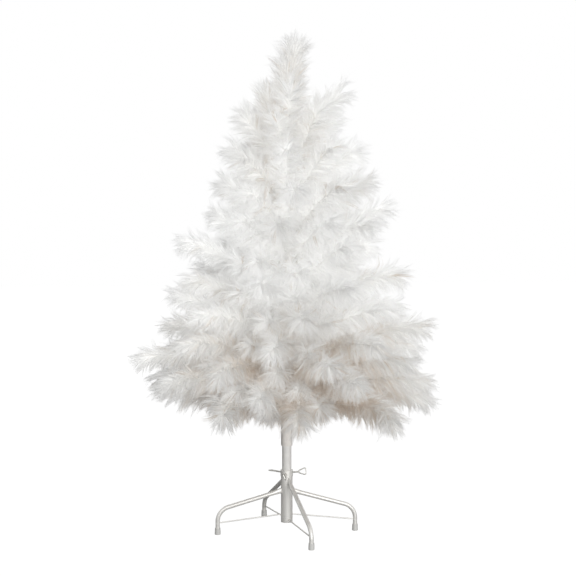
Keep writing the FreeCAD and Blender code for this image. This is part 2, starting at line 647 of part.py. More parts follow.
def wire_solid(start, pitch, bending_radius, length, radius):
    """A bound wire: up along the pole, round its bend and out along the branch."""
    bend = size("wire_bend_radius")
    centre = start - above(pitch) * bend
    low = centre + above(math.pi / 2) * bend
    middle = centre + above((pitch + math.pi / 2) / 2) * bend
    half, _ = branch_point(start, pitch, bending_radius, length / 2)
    end, _ = branch_point(start, pitch, bending_radius, length)
    bottom = low - FreeCAD.Vector(0, 0, size("bound_length"))
    spine = Part.Wire([
        Part.LineSegment(bottom, low).toShape(),
        Part.Arc(low, middle, start).toShape(),
        Part.Arc(start, half, end).toShape(),
    ])
    section = Part.Wire(Part.Circle(bottom, FreeCAD.Vector(0, 0, 1), radius).toShape())
    return spine.makePipeShell([section], True, False)


def plume_solid(start, pitch, bending_radius, wire_length, length, radius):
    """The soft body of a plume: rings that swell and close along the bend of its branch."""
    rings = []
    for station, swell in zip(PLUME_STATION_SHARES, PLUME_SWELL_SHARES):
        point, here = branch_point(start, pitch, bending_radius, wire_length + station * length)
        circle = Part.Circle(point, direction(here), swell * radius)
        rings.append(Part.Wire(circle.toShape()))
    return Part.makeLoft(rings, True, False)


def add_group(name, solids, height):
    """A node that holds a group of separate solids, lifted to its tier."""
    group = document.addObject("Part::Feature", name)
    group.Label = name
    group.Shape = Part.makeCompound(solids)
    group.Placement = FreeCAD.Placement(FreeCAD.Vector(0, 0, height), FreeCAD.Rotation())
    return group


def turned_to(solid, azimuth):
    """A copy of a solid turned about the pole axis."""
    copy = solid.copy()
    copy.rotate(FreeCAD.Vector(), FreeCAD.Vector(0, 0, 1), azimuth)
    return copy


def make_tier(tier):
    """One tier: its wires, its plumes, and the passages that its wires need through the tape."""
    name = f"tier_{tier + 1:02d}"
    root = root_height(tier)
    wire_radius = size("wire_diameter") / 2
    plume_radius = size("plume_radius") * PLUME_RADIUS_SHARES[tier]
    bend = size("wire_bend_radius")
    passage_radius = wire_radius + size("wrap_clearance")
    pole_radius = POLE_RADIUS if tier < LOWER_TIERS else UPPER_POLE_RADIUS
    wrap_radius = worked_out(f"{wrap_bore(pole_radius)} + Sizes.wrap_wall")
    wires = []
    plumes = []
    passages = []
    for azimuth, pitch, bending_radius, wire_length, length in tier_branches(tier):
        middle = FreeCAD.Vector(bind_radius(tier) + bend, 0, 0)
        start = middle + above(pitch) * bend
        wires.append(turned_to(wire_solid(start, pitch, bending_radius, wire_length, wire_radius), azimuth))
        plume = plume_solid(start, pitch, bending_radius, wire_length, length, plume_radius)
        plumes.append(turned_to(plume, azimuth))
        way_out = bend + (wrap_radius + passage_radius - start.x) / math.cos(pitch)
        passage = wire_solid(start, pitch, bending_radius, way_out, passage_radius)
        passages.append(turned_to(passage, azimuth))
    add_group(f"{name}_wires", wires, root)
    add_group(f"{name}_plumes", plumes, root)
    for passage in passages:
        passage.translate(FreeCAD.Vector(0, 0, root))
    return passages


def make_wrap(name, pole_radius, bottom, top, passages):
    """Tape wound round the pole over the bound wires, open where each wire leaves it."""
    bore = wrap_bore(pole_radius)
    sleeve = turned_tube(f"{name}_sleeve", bore, f"({bore} + Sizes.wrap_wall)", bottom, top)
    ways = document.addObject("Part::Feature", f"{name}_ways")
    ways.Shape = Part.makeCompound(passages)
    wrap = cut(name, sleeve, ways)
    wrap.Label = name


def make_leader():
    """The upright wire in the top plug and the plume it carries."""
    bottom = worked_out(f"{UPPER_POLE_TOP} - Sizes.top_plug_stem + Sizes.top_plug_flange")
    length = size("leader_plume_length")
    lean = math.radians(LEADER_LEAN)
    bending_radius = length / lean
    rise = bending_radius * math.sin(lean)
    wire_length = size("tree_height") - bottom - rise
    base = FreeCAD.Vector(0, 0, wire_length)
    wire = Part.makeCylinder(size("leader_wire_diameter") / 2, wire_length)
    add_group("leader_wire", [wire], bottom)
    share = PLUME_RADIUS_SHARES[-1]
    plume = plume_solid(base, math.pi / 2, bending_radius, 0, length, size("plume_radius") * share)
    add_group("leader_plume", [plume], bottom)


def make_tree():
    """All tiers, the tape wrap of each section and the leader."""
    lower_ways = []
    upper_ways = []
    for tier in range(len(DROOPS)):
        ways = lower_ways if tier < LOWER_TIERS else upper_ways
        ways.extend(make_tier(tier))
    lower_top = f"({LOWER_POLE_TOP} - Sizes.joint_gap)"
    upper_bottom = f"({STOP_TOP} + Sizes.joint_gap)"
    make_wrap("lower_wrap", POLE_RADIUS, "Sizes.wrap_start_height", lower_top, lower_ways)
    make_wrap("upper_wrap", UPPER_POLE_RADIUS, upper_bottom, UPPER_POLE_TOP, upper_ways)
    make_leader()


# The pieces that are handed over, in the order of the piece list

NODES = (
    ["core_tube", "base_cap", "fixed_sleeve", "bolt_collar"]
    + [f"leg_{side}" for side in ("left", "right", "front", "back")]
    + [f"brace_{side}" for side in ("left", "right", "front", "back")]
    + [f"foot_cap_{side}" for side in ("left", "right", "front", "back")]
    + ["swivel_ring_upper", "swivel_ring_lower"]
    + [name for name, _ in BOLT_AZIMUTHS]
    + ["pole_end_plug", "lower_pole", "upper_pole", "stop_collar", "top_plug", "lower_wrap", "upper_wrap"]
    + [f"tier_{tier + 1:02d}_{kind}" for tier in range(len(DROOPS)) for kind in ("wires", "plumes")]
    + ["leader_wire", "leader_plume"]
)


def check_and_write():
    """Stops at any failed feature or bad shape, then writes one file for each node."""
    for item in document.Objects:
        if "Invalid" in item.State or "Error" in item.State:
            raise RuntimeError(f"{item.Name} failed: {item.State}")
    os.makedirs("parts", exist_ok=True)
    for node in NODES:
        shape = document.getObjectsByLabel(node)[0].Shape
        if shape.isNull() or not shape.isValid() or not shape.Solids:
            raise RuntimeError(f"{node} has no valid solid")
        shape.exportStep(f"parts/{node}.step")


make_socket()
make_legs()
for bolt_name, bolt_azimuth in BOLT_AZIMUTHS:
    make_eye_bolt(bolt_name, bolt_azimuth, BOLT_ROLLS[bolt_name])
make_poles()
make_tree()
document.recompute()
check_and_write()
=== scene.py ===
import math

import bpy
import numpy as np
from bpy.props import (
    FloatProperty,
    FloatVectorProperty,
    IntProperty,
    PointerProperty,
)
from bpy.types import Operator, Panel, PropertyGroup
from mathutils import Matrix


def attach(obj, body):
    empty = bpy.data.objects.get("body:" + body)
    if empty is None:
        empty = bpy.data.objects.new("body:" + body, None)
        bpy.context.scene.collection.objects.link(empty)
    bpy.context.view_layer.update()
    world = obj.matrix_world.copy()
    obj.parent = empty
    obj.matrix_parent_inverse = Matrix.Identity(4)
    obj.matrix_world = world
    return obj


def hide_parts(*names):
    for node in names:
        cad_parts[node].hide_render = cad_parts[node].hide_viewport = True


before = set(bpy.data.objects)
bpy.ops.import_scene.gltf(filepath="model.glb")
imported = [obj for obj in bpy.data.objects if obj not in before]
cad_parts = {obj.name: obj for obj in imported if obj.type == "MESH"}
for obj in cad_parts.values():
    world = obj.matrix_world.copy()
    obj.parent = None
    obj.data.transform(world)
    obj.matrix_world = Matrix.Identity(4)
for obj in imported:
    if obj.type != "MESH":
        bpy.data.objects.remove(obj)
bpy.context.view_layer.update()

bl_info = {
    "name": "Pampas grass tree",
    "version": (1, 0, 0),
    "blender": (4, 5, 0),
    "location": "View3D > Sidebar > Pampas tree",
    "description": "Dresses a wired pampas grass tree and its folding steel stand",
    "category": "Object",
}

UV_NAME = "OFBake"
FULL_TURN = 360.0

# How the plumes are laid out, tier by tier from the lowest, as in the part's source
LOWER_TIERS = 7
RINGS_PER_TIER = (2, 2, 2, 2, 2, 2, 2, 1, 1, 1, 1, 1)
PLUMES_PER_RING = (8, 8, 8, 8, 7, 7, 6, 11, 10, 8, 6, 4)
ROOT_HEIGHT_SHARES = (0.0, 0.045, 0.095, 0.155, 0.235, 0.33, 0.43, 0.56, 0.665, 0.785, 0.915, 1.0)
TIP_REACH_SHARES = (0.94, 0.946, 0.965, 0.903, 0.79, 0.715, 0.64, 0.58, 0.495, 0.42, 0.31, 0.27)
TIP_HEIGHT_SHARES = (0.26, 0.315, 0.366, 0.421, 0.478, 0.536, 0.594, 0.652, 0.715, 0.78, 0.845, 0.89)
SIDE_LEAN_SHARES = (0.085, 0.0, -0.035, 0.065, 0.01, 0.055, -0.065, 0.13, 0.13, 0.085, 0.065, 0.33)
DROOPS = (36.0, 34.0, 32.0, 30.0, 28.0, 26.0, 24.0, 22.0, 20.0, 18.0, 14.0, 10.0)
TIER_TURNS = (0.0, 25.0, 9.0, 33.0, 14.0, 40.0, 5.0, 28.0, 17.0, 36.0, 11.0, -2.0)
PLUME_LENGTH_SHARES = (1.0, 1.0, 1.0, 1.0, 0.98, 0.95, 0.92, 0.91, 0.87, 0.79, 0.75, 0.72)
INNER_REACH_SHARE = 0.68
SIDE_AZIMUTH = math.radians(-6.9)
AZIMUTH_WANDER = 4.0
REACH_WANDER_SHARE = 0.05
DROOP_WANDER_SHARE = 0.25
AZIMUTH_STRIDE = 0.618
REACH_STRIDE = 0.382
HEIGHT_STRIDE = 0.755
DROOP_STRIDE = 0.271
# How far the end of a plume nods, in degrees, by tier, at the left, the right and the front and back
LEFT_NODS = (-30.0, 6.0, 24.0, 12.0, 4.0, 6.0, 12.0, 6.0, 4.0, 12.0, 4.0, -16.0)
RIGHT_NODS = (12.0, 2.0, 2.0, 4.0, 6.0, 16.0, 6.0, 6.0, 4.0, 4.0, 2.0, 12.0)
FRONT_NODS = (-8.0, 4.0, 20.0, 32.0, 36.0, 38.0, 38.0, 34.0, 28.0, 20.0, 12.0, 8.0)
NOD_WANDER = 26.0
NOD_STRIDE = 0.691
LEADER_NOD = 16.0
# How far the end of a plume turns aside, in degrees: either way, and at the quarters to the front or back
SIDE_BEND = 26.0
BEND_STRIDE = 0.837
GATHERS = (70.0, 20.0, 0.0, 0.0, 0.0, 0.0, 0.0, 0.0, 0.0, 0.0, 0.0, 0.0)
# How much painted shade the tufts of a tier take on top of a base: most, darker and warmer, in the
# lowest tiers, some at the top, and less than the base in the middle tiers, which are painted lighter
TIER_PAINTED_SHADES = (0.46, 0.4, 0.32, 0.22, 0.06, -0.04, -0.1, -0.12, -0.1, -0.04, 0.06, 0.12)
GOLDEN_TURN = math.radians(137.508)

STAND_NODES = (
    "core_tube", "fixed_sleeve", "bolt_collar", "swivel_ring_upper", "swivel_ring_lower",
    "base_cap", "leg_left", "leg_right", "leg_front", "leg_back",
    "brace_left", "brace_right", "brace_front", "brace_back",
)
FOOT_NODES = ("foot_cap_left", "foot_cap_right", "foot_cap_front", "foot_cap_back")
BOLT_NODES = ("eye_bolt_front", "eye_bolt_left", "eye_bolt_right")
POLE_NODES = ("lower_pole", "upper_pole", "stop_collar")
PLUG_NODES = ("pole_end_plug", "top_plug")
WRAP_NODES = ("lower_wrap", "upper_wrap")


def length_property(name, description, default):
    """A length in metres."""
    return FloatProperty(name=name, description=description, default=default, unit="LENGTH", precision=5)


def colour_property(name, description, default):
    """A linear colour."""
    return FloatVectorProperty(
        name=name, description=description, default=default, subtype="COLOR", size=3, min=0.0, max=1.0
    )


def angle_property(name, description, degrees):
    """An angle, given in degrees and kept in radians."""
    return FloatProperty(name=name, description=description, default=math.radians(degrees), subtype="ANGLE")


class TreeSizes(PropertyGroup):
    """Sizes that place the plumes on the pole, as in the part's source but for the shorter leader"""

    tree_height: length_property("Tree height", "Floor to the leader's tip, nominal", 1.5)
    skirt_radius: length_property("Skirt radius", "Pole axis to the widest plume tips", 0.462)
    first_tier_height: length_property("First tier", "Height of the lowest wires", 0.375)
    last_tier_height: length_property("Last tier", "Height of the highest wires", 1.136)
    tip_scatter: length_property("Tip scatter", "Spread of the tip heights in a tier", 0.036)
    lower_pole_radius: length_property("Lower pole radius", "Outside of the lower pole", 0.014)
    upper_pole_radius: length_property("Upper pole radius", "Outside of the upper pole", 0.01291)
    wire_diameter: length_property("Wire diameter", "Wire of the side plumes", 0.0022)
    wire_clearance: length_property("Wire clearance", "From the pole to a bound wire", 0.00005)
    wire_bend_radius: length_property("Wire bend", "Radius where a wire leaves the pole", 0.005)
    inner_wire_length: length_property("Inner wire", "Bare wire of the inner plumes", 0.044)
    plume_length: length_property("Plume length", "Base to tip of the longest plume", 0.262)
    leader_height: length_property("Leader height", "Height where the leader plume starts", 1.2385)
    leader_length: length_property("Leader length", "Length of the leader plume's arc", 0.243)
    leader_lean: angle_property("Leader lean", "How far the leader bends over", 6.0)


class FibreSizes(PropertyGroup):
    """Sizes of the feathery fibres on each plume"""

    tufts: IntProperty(name="Tufts", description="Tufts on the longest plume", default=190, min=8)
    fibres_per_tuft: IntProperty(
        name="Fibres per tuft", description="Fibres that clump together", default=8, min=2
    )
    fibre_length: length_property("Fibre length", "Length of a fibre at the middle of a plume", 0.105)
    fibre_width: length_property("Fibre width", "Width of a fibre near its root", 0.0014)
    stem_radius: length_property("Stem radius", "Radius of a plume's stem at its base", 0.0016)
    tuft_spread: length_property("Tuft spread", "Distance between fibre roots in a tuft", 0.005)
    lean_at_base: angle_property("Lean at base", "Fibre to stem at the base", 52.0)
    lean_at_tip: angle_property("Lean at tip", "Fibre to stem near the tip", 32.0)
    sag: FloatProperty(name="Sag", description="How far a fibre hangs down", default=0.4)
    curl: FloatProperty(name="Curl", description="How far a fibre's end turns any way", default=0.2)
    clumping: FloatProperty(name="Clumping", description="How tightly a tuft draws together", default=0.8)
    seed: IntProperty(name="Seed", description="Changes every fibre's small differences", default=11)


class FinishColours(PropertyGroup):
    """Colours of the fibres, the stand and the fittings"""

    # Painted light: brighter beside the stem, to lift the shade inside a plume, greyer at the exposed ends
    fibre_tip_painted_grey: colour_property("Fibre tip", "Greyer ends of the fibres", (0.94, 0.94, 0.937))
    fibre_root_painted_bright: colour_property("Fibre root", "Brighter fibres beside the stem", (0.965, 0.964, 0.957))
    # Painted shade: a grey for lightly shaded tufts and a warm beige for the most shaded ones
    fibre_painted_shade_soft: colour_property("Shaded fibres", "Tone of lightly shaded tufts", (0.91, 0.907, 0.9))
    fibre_painted_shade_deep: colour_property(
        "Sheltered fibres", "Tone of the most sheltered tufts", (0.74, 0.665, 0.59)
    )
    enamel: colour_property("Enamel", "Paint on the stand", (0.66, 0.66, 0.635))
    pole_enamel: colour_property("Pole paint", "Paint on the poles", (0.8, 0.79, 0.77))
    zinc: colour_property("Zinc", "Plating of the eye bolts", (0.4, 0.39, 0.37))
    foot_plastic: colour_property("Foot plastic", "Plastic of the foot caps", (0.7, 0.695, 0.675))
    plug_plastic: colour_property("Plug plastic", "Plastic of the plugs", (0.62, 0.62, 0.60))
    tape: colour_property("Tape", "Paper tape round the pole", (0.82, 0.79, 0.755))
    wire: colour_property("Wire", "Coating of the wires", (0.74, 0.71, 0.64))


class StageSizes(PropertyGroup):
    """Camera, light and floor"""

    camera_distance: length_property("Camera distance", "Camera to the pole, level", 4.214)
    camera_height: length_property("Camera height", "Camera above the floor", 1.104)
    camera_offset: length_property("Camera offset", "Camera to the right of the pole", 0.0038)
    camera_turn: angle_property("Camera turn", "Camera round the tree", -6.9)
    camera_pitch: angle_property("Camera pitch", "How far the camera looks down", 4.87)
    lens: FloatProperty(name="Lens", description="Focal length in mm on a 36 mm sensor", default=88.3)
    floor_radius: length_property("Floor radius", "Half the side of the floor", 9.0)
    lamp_size: length_property("Lamp size", "Side of each square soft light", 2.0)
    world_level: FloatProperty(
        name="World level", description="Strength of the surrounding light", default=0.275
    )
    key_power: FloatProperty(name="Key power", description="Watts of the light at the right", default=106.0)
    fill_power: FloatProperty(name="Fill power", description="Watts of the light at the left", default=36.0)
    back_power: FloatProperty(name="Back power", description="Watts of the light behind", default=14.0)


def wander(number, stride):
    """An even scatter from -0.5 to 0.5: the fraction of number times stride, less a half."""
    return (number * stride) % 1.0 - 0.5


def tier_axes(sizes, tier):
    """The arcs that a tier's plumes follow.

    Each wire leaves the pole at a pitch and bends down along a circle, so that its end is at the tier's
    reach and height: radius = chord / (2 sin(droop / 2)), and first pitch = the chord's pitch + droop / 2.
    Returns each plume's azimuth, first pitch, circle radius, start in its own upright plane, distance along
    the arc where the plume starts, length, and the angles that its end nods and turns aside by."""
    rings = RINGS_PER_TIER[tier]
    number = np.arange(PLUMES_PER_RING[tier] * rings)
    inner = number % rings == 1
    key = number + 1 + sum(p * r for p, r in zip(PLUMES_PER_RING[:tier], RINGS_PER_TIER[:tier]))
    pole_radius = sizes.lower_pole_radius if tier < LOWER_TIERS else sizes.upper_pole_radius
    bend = sizes.wire_bend_radius
    start = pole_radius + sizes.wire_diameter / 2 + sizes.wire_clearance + bend
    root = sizes.first_tier_height
    root += (sizes.last_tier_height - sizes.first_tier_height) * ROOT_HEIGHT_SHARES[tier]
    azimuth = TIER_TURNS[tier] + FULL_TURN * number / number.size
    azimuth = np.radians(azimuth + AZIMUTH_WANDER * wander(key, AZIMUTH_STRIDE))
    reach = sizes.skirt_radius * TIP_REACH_SHARES[tier]
    reach = reach * (1 + SIDE_LEAN_SHARES[tier] * np.cos(azimuth - SIDE_AZIMUTH)
                     + REACH_WANDER_SHARE * wander(key, REACH_STRIDE))
    tip = sizes.tree_height * TIP_HEIGHT_SHARES[tier] + sizes.tip_scatter * wander(key, HEIGHT_STRIDE)
    droop = math.radians(DROOPS[tier]) * (1 + DROOP_WANDER_SHARE * wander(key, DROOP_STRIDE))
    chord = np.hypot(tip - root, reach - start)
    radius = chord / (2 * np.sin(droop / 2))
    pitch = np.arctan2(tip - root, reach - start) + droop / 2
    length = radius * droop * np.where(inner, INNER_REACH_SHARE, 1.0)
    feathered = length - sizes.inner_wire_length
    longest = sizes.plume_length * PLUME_LENGTH_SHARES[tier]
    plume = np.where(inner, feathered, np.minimum(feathered, longest))
    origin = np.stack((start - bend * np.sin(pitch), root + bend * np.cos(pitch)), axis=-1)
    turn = azimuth - SIDE_AZIMUTH
    front = np.sin(turn) ** 2
    nod = np.where(np.cos(turn) < 0, LEFT_NODS[tier], RIGHT_NODS[tier])
    nod = nod * (1 - front) + FRONT_NODS[tier] * front + NOD_WANDER * wander(key, NOD_STRIDE)
    aside = SIDE_BEND * wander(key, BEND_STRIDE) + GATHERS[tier] * np.sin(2 * turn)
    return azimuth, pitch, radius, origin, length - plume, plume, np.radians(nod), np.radians(aside)


def leader_axis(sizes):
    """The leader's arc: it starts upright over the pole, leans over by its lean along its length and nods."""
    radius = sizes.leader_length / sizes.leader_lean
    origin = np.array([[0.0, sizes.leader_height]])
    return (np.zeros(1), np.full(1, math.pi / 2), np.full(1, radius), origin, np.zeros(1),
            np.full(1, sizes.leader_length), np.full(1, math.radians(LEADER_NOD)), np.zeros(1))


def level_directions(azimuth):
    """Unit vectors away from the pole at this azimuth and, square to it, anticlockwise."""
    level = np.zeros_like(azimuth)
    out = np.stack((np.cos(azimuth), np.sin(azimuth), level), axis=-1)
    side = np.stack((-np.sin(azimuth), np.cos(azimuth), level), axis=-1)
    return out, side


def along(axes, station):
    """Points and directions at stations along each plume, where 0 is its base and 1 its tip.

    In its upright plane, a point at distance d has pitch = first pitch - d / radius, and lies at
    start + radius * (sin(first pitch) - sin(pitch), cos(pitch) - cos(first pitch)). From the base on, at
    station s, the nod takes nod * s ** 2 off the pitch and moves the point by nod * length * s ** 3 / 3
    down along the stem's normal. The turn aside does the same in the level plane. The upright plane is
    turned to the azimuth. Returns the point, the stem's direction, its upward normal and its side."""
    azimuth, first_pitch, radius, origin, begin, plume, nod, aside = (
        a.reshape(a.shape[:1] + (1,) * (station.ndim - 1) + a.shape[1:]) for a in axes
    )
    pitch = first_pitch - (begin + station * plume) / radius
    across = origin[..., 0] + radius * (np.sin(first_pitch) - np.sin(pitch))
    height = origin[..., 1] + radius * (np.cos(pitch) - np.cos(first_pitch))
    grown = np.clip(station, 0.0, 1.0)
    drift = plume * grown ** 3 / 3
    fall = nod * drift
    across = across + np.sin(pitch) * fall
    height = height - np.cos(pitch) * fall
    pitch = pitch - nod * grown ** 2
    rise = np.array((0.0, 0.0, 1.0))
    azimuth = azimuth + np.zeros_like(pitch)
    out, side = level_directions(azimuth)
    point = out * across[..., None] + rise * height[..., None] + side * (aside * drift)[..., None]
    out, side = level_directions(azimuth + aside * grown ** 2)
    forward = out * np.cos(pitch)[..., None] + rise * np.sin(pitch)[..., None]
    above = rise * np.cos(pitch)[..., None] - out * np.sin(pitch)[..., None]
    return point, forward, above, side


TINY = 1e-12


def unit(vectors):
    """The vectors scaled to length 1."""
    return vectors / np.maximum(np.linalg.norm(vectors, axis=-1, keepdims=True), TINY)


def fibre_path(axes, fibre, station, around, lean, reach, curl, v):
    """Points at shares v along fibres.

    A fibre leaves the stem at its station, at its lean from the stem's direction and at its angle around
    the stem. At share v its heading has gained curl * v ** 2 and lost sag * v * (the stem's level share) in
    height, and the point lies reach * v along that heading from the fibre's root."""
    point, forward, above, side = along(axes, station)
    outward = above * np.cos(around)[..., None] + side * np.sin(around)[..., None]
    heading = forward * np.cos(lean)[..., None] + outward * np.sin(lean)[..., None]
    level = np.hypot(forward[..., 0], forward[..., 1])[..., None, None]
    heading = heading[..., None, :] - v[:, None] * fibre.sag * level * np.array((0.0, 0.0, 1.0))
    heading = heading + v[:, None] ** 2 * curl[..., None, :]
    base = point + outward * fibre.stem_radius * (1 - station)[..., None]
    return base[..., None, :] + unit(heading) * (reach[..., None] * v)[..., None]


# Where the tufts sit along a plume, as stations from its base to its tip
FIBRE_START = -0.1
TIP_START = 0.73
STEM_END = 0.818
TIP_TUFT_SHARE = 0.15
# How the tufts lean and turn, in radians
TIP_LEAN_RANGE = (math.radians(2.0), math.radians(38.0))
LEAN_SCATTER = math.radians(4.0)
TUFT_AROUND_SCATTER = 0.2
# How long the tufts are, as shares of the fibre length, and the stations where that changes
BASE_LENGTH_SHARE = 0.45
FULL_LENGTH_STATION = 0.22
SHORTENING_STATION = 0.6
TIP_LENGTH_SHARE = 0.705
UNDERSIDE_LOSS_SHARE = 0.14
TIP_EVENNESS = 0.92
BODY_EVENNESS = 0.68


def tuft_table(axes, fibre, tufts, rng):
    """Station, angle, lean and length of each tuft of each plume.

    Tufts are spread evenly along the stem and turn round it by the golden angle. The last share of them
    sits at the end and opens as a blunt fan. The length share is base + (1 - base) * g * (2 - g), where g
    grows from 0 at the first tuft to 1 at the full-length station. From the shortening station on it falls
    evenly to the tip's share. It is less below a level stem, and by chance by up to 1 - evenness."""
    plumes = axes[0].size
    count = int(tufts * (1 - TIP_TUFT_SHARE))
    body = (np.arange(count) + rng.random((plumes, count))) / count
    body = FIBRE_START + (TIP_START - FIBRE_START) * body
    end = TIP_START + (STEM_END - TIP_START) * rng.random((plumes, tufts - count))
    station = np.concatenate((body, end), axis=1)
    around = np.arange(tufts) * GOLDEN_TURN + rng.random((plumes, 1)) * math.tau
    around = around + rng.normal(0.0, TUFT_AROUND_SCATTER, (plumes, tufts))
    lean = fibre.lean_at_base + (fibre.lean_at_tip - fibre.lean_at_base) * station
    lean = lean + rng.normal(0.0, LEAN_SCATTER, (plumes, tufts))
    narrow, wide = TIP_LEAN_RANGE
    fan = narrow + (wide - narrow) * np.sqrt(rng.random((plumes, tufts)))
    at_end = np.arange(tufts) >= count
    lean = np.where(at_end, fan, lean)
    grown = np.clip((station - FIBRE_START) / (FULL_LENGTH_STATION - FIBRE_START), 0.0, 1.0)
    profile = BASE_LENGTH_SHARE + (1 - BASE_LENGTH_SHARE) * grown * (2 - grown)
    late = np.clip((station - SHORTENING_STATION) / (1 - SHORTENING_STATION), 0.0, 1.0)
    profile = profile * (1 - (1 - TIP_LENGTH_SHARE) * late)
    even = np.where(at_end, TIP_EVENNESS, BODY_EVENNESS)
    reach = fibre.fibre_length * profile * (1 - (1 - even) * rng.random((plumes, tufts)))
    forward = along(axes, station)[1]
    level = np.hypot(forward[..., 0], forward[..., 1])
    reach = reach * (1 - UNDERSIDE_LOSS_SHARE * level * np.clip(-np.cos(around), 0.0, 1.0))
    return station, around, lean, reach


# How the fibres of a tuft differ, and how they draw together towards their ends
FIBRE_SCALE_RANGE = (0.82, 1.0)
FIBRE_AROUND_SCATTER = 0.22
SHIFT_GAIN = 1.6
CLUMP_POWER = 1.5
# A ribbon has three pairs of vertices and then a point
FIBRE_STEPS = np.array((0.0, 0.34, 0.7, 1.0))
FIBRE_WIDTH_SHARES = np.array((1.0, 0.95, 0.62))
RIBBON_STEPS = np.array((0, 0, 1, 1, 2, 2, 3))
RIBBON_SIDES = np.array((-1.0, 1.0, -1.0, 1.0, -1.0, 1.0, 0.0))
RIBBON_QUADS = np.array(((0, 1, 3, 2), (2, 3, 5, 4)))
RIBBON_POINT = np.array((4, 5, 6))


def fibre_mesh(axes, fibre, tufts, seed, painted_shade):
    """Ribbons of all the fibres of some plumes: vertices, quads, triangles and each fibre's painted shade.

    At share v, each fibre's own path is drawn towards its tuft's path by clumping * v ** CLUMP_POWER, and a
    ribbon of tapering width lies across it, ending in a point."""
    rng = np.random.default_rng(seed)
    station, around, lean, reach = tuft_table(axes, fibre, tufts, rng)
    plumes = station.shape[0]
    size = (plumes, tufts, fibre.fibres_per_tuft)
    scale = rng.uniform(*FIBRE_SCALE_RANGE, size)
    shift = rng.uniform(-1.0, 1.0, size) * fibre.tuft_spread / axes[5].reshape(-1, 1, 1)
    own_station = np.clip(station[..., None] + SHIFT_GAIN * shift, FIBRE_START, STEM_END)
    own_around = around[..., None] + rng.normal(0.0, FIBRE_AROUND_SCATTER, size)
    own_lean = lean[..., None] + rng.normal(0.0, LEAN_SCATTER, size)
    reach = reach[..., None] * scale
    curl = fibre.curl * rng.normal(0.0, 1.0, (plumes, tufts, 1, 3))
    own = fibre_path(axes, fibre, own_station, own_around, own_lean, reach, curl, FIBRE_STEPS)
    station_of_all, around_of_all, lean_of_all = (
        np.broadcast_to(part[..., None], size) for part in (station, around, lean)
    )
    shared = fibre_path(axes, fibre, station_of_all, around_of_all, lean_of_all, reach, curl, FIBRE_STEPS)
    draw = (fibre.clumping * FIBRE_STEPS ** CLUMP_POWER)[:, None]
    path = own * (1 - draw) + shared * draw
    run = unit(path[..., 2, :] - path[..., 0, :])
    across = unit(np.cross(run, rng.normal(0.0, 1.0, size + (3,))))
    half = across[..., None, :] * (fibre.fibre_width / 2 * FIBRE_WIDTH_SHARES)[:, None]
    sides = np.stack((path[..., :3, :] - half, path[..., :3, :] + half), axis=-2)
    count = plumes * tufts * fibre.fibres_per_tuft
    pairs = sides.reshape(count, -1, 3)
    vertices = np.concatenate((pairs, path[..., 3, :].reshape(count, 1, 3)), axis=1)
    first = np.arange(count)[:, None] * RIBBON_STEPS.size
    quads = (first[:, None] + RIBBON_QUADS).reshape(-1, 4)
    shade = np.repeat(tuft_painted_shade(station, painted_shade, rng).reshape(-1), fibre.fibres_per_tuft)
    return vertices.reshape(-1, 3), quads, first + RIBBON_POINT, shade


# How the painted shade of a tuft follows from its place
SHADE_BASE = 0.15
SHADE_AT_TIP = 0.34
SHADE_RISE = 1.25
SHADE_END = 1.1
PLUME_SHADE_SCATTER = 0.1
TUFT_SHADE_SCATTER = 0.12
DARK_TUFT = 0.6
DARK_TUFT_SHARE = 0.02
SHADE_RANGE = (0.02, 0.98)


def tuft_painted_shade(station, painted_shade, rng):
    """How much painted shade each tuft takes, from 0 to 1.

    At station s it is (SHADE_BASE + painted_shade) * (SHADE_AT_TIP + SHADE_RISE * (SHADE_END - s) ** 2),
    so it is painted darker towards the plume's base by the pole, where shade falls. The painted shade is
    the tier's, with scatter by plume and by tuft, and a few tufts at random are much darker."""
    shade = (SHADE_BASE + painted_shade) * (SHADE_AT_TIP + SHADE_RISE * (SHADE_END - station) ** 2)
    shade = shade + rng.normal(0.0, PLUME_SHADE_SCATTER, (station.shape[0], 1))
    shade = shade + rng.normal(0.0, TUFT_SHADE_SCATTER, station.shape)
    shade = shade + DARK_TUFT * (rng.random(station.shape) < DARK_TUFT_SHARE)
    return np.clip(shade, *SHADE_RANGE)


STEM_STEPS = 9
STEM_STATIONS = np.linspace(FIBRE_START, STEM_END, STEM_STEPS)
STEM_SIDES = 6
STEM_TIP_SHARE = 0.25


def stem_mesh(axes, fibre):
    """Stems of some plumes: a tapering tube round each arc, closed by a point at each end."""
    plumes = axes[0].size
    point, _, above, side = along(axes, np.broadcast_to(STEM_STATIONS, (plumes, STEM_STEPS)))
    turn = np.arange(STEM_SIDES) * math.tau / STEM_SIDES
    radius = fibre.stem_radius * (1 - (1 - STEM_TIP_SHARE) * STEM_STATIONS)
    ring = above[:, :, None] * np.cos(turn)[:, None] + side[:, :, None] * np.sin(turn)[:, None]
    wall = point[:, :, None] + ring * radius[:, None, None]
    ends = point[:, (0, -1)]
    count = STEM_STEPS * STEM_SIDES
    vertices = np.concatenate((wall.reshape(plumes, count, 3), ends), axis=1)
    here = np.arange(STEM_SIDES)
    following = (here + 1) % STEM_SIDES
    rows = np.arange(STEM_STEPS - 1)[:, None] * STEM_SIDES
    above_row = rows + STEM_SIDES
    quads = np.stack((rows + here, rows + following, above_row + following, above_row + here), axis=-1)
    last = count - STEM_SIDES
    caps = np.concatenate((
        np.stack((following, here, np.full(STEM_SIDES, count)), axis=-1),
        np.stack((last + here, last + following, np.full(STEM_SIDES, count + 1)), axis=-1),
    ))
    first = (np.arange(plumes) * (count + len(ends[0])))[:, None, None]
    quads = first + quads.reshape(-1, 4)
    return vertices.reshape(-1, 3), quads.reshape(-1, 4), (first + caps).reshape(-1, 3)


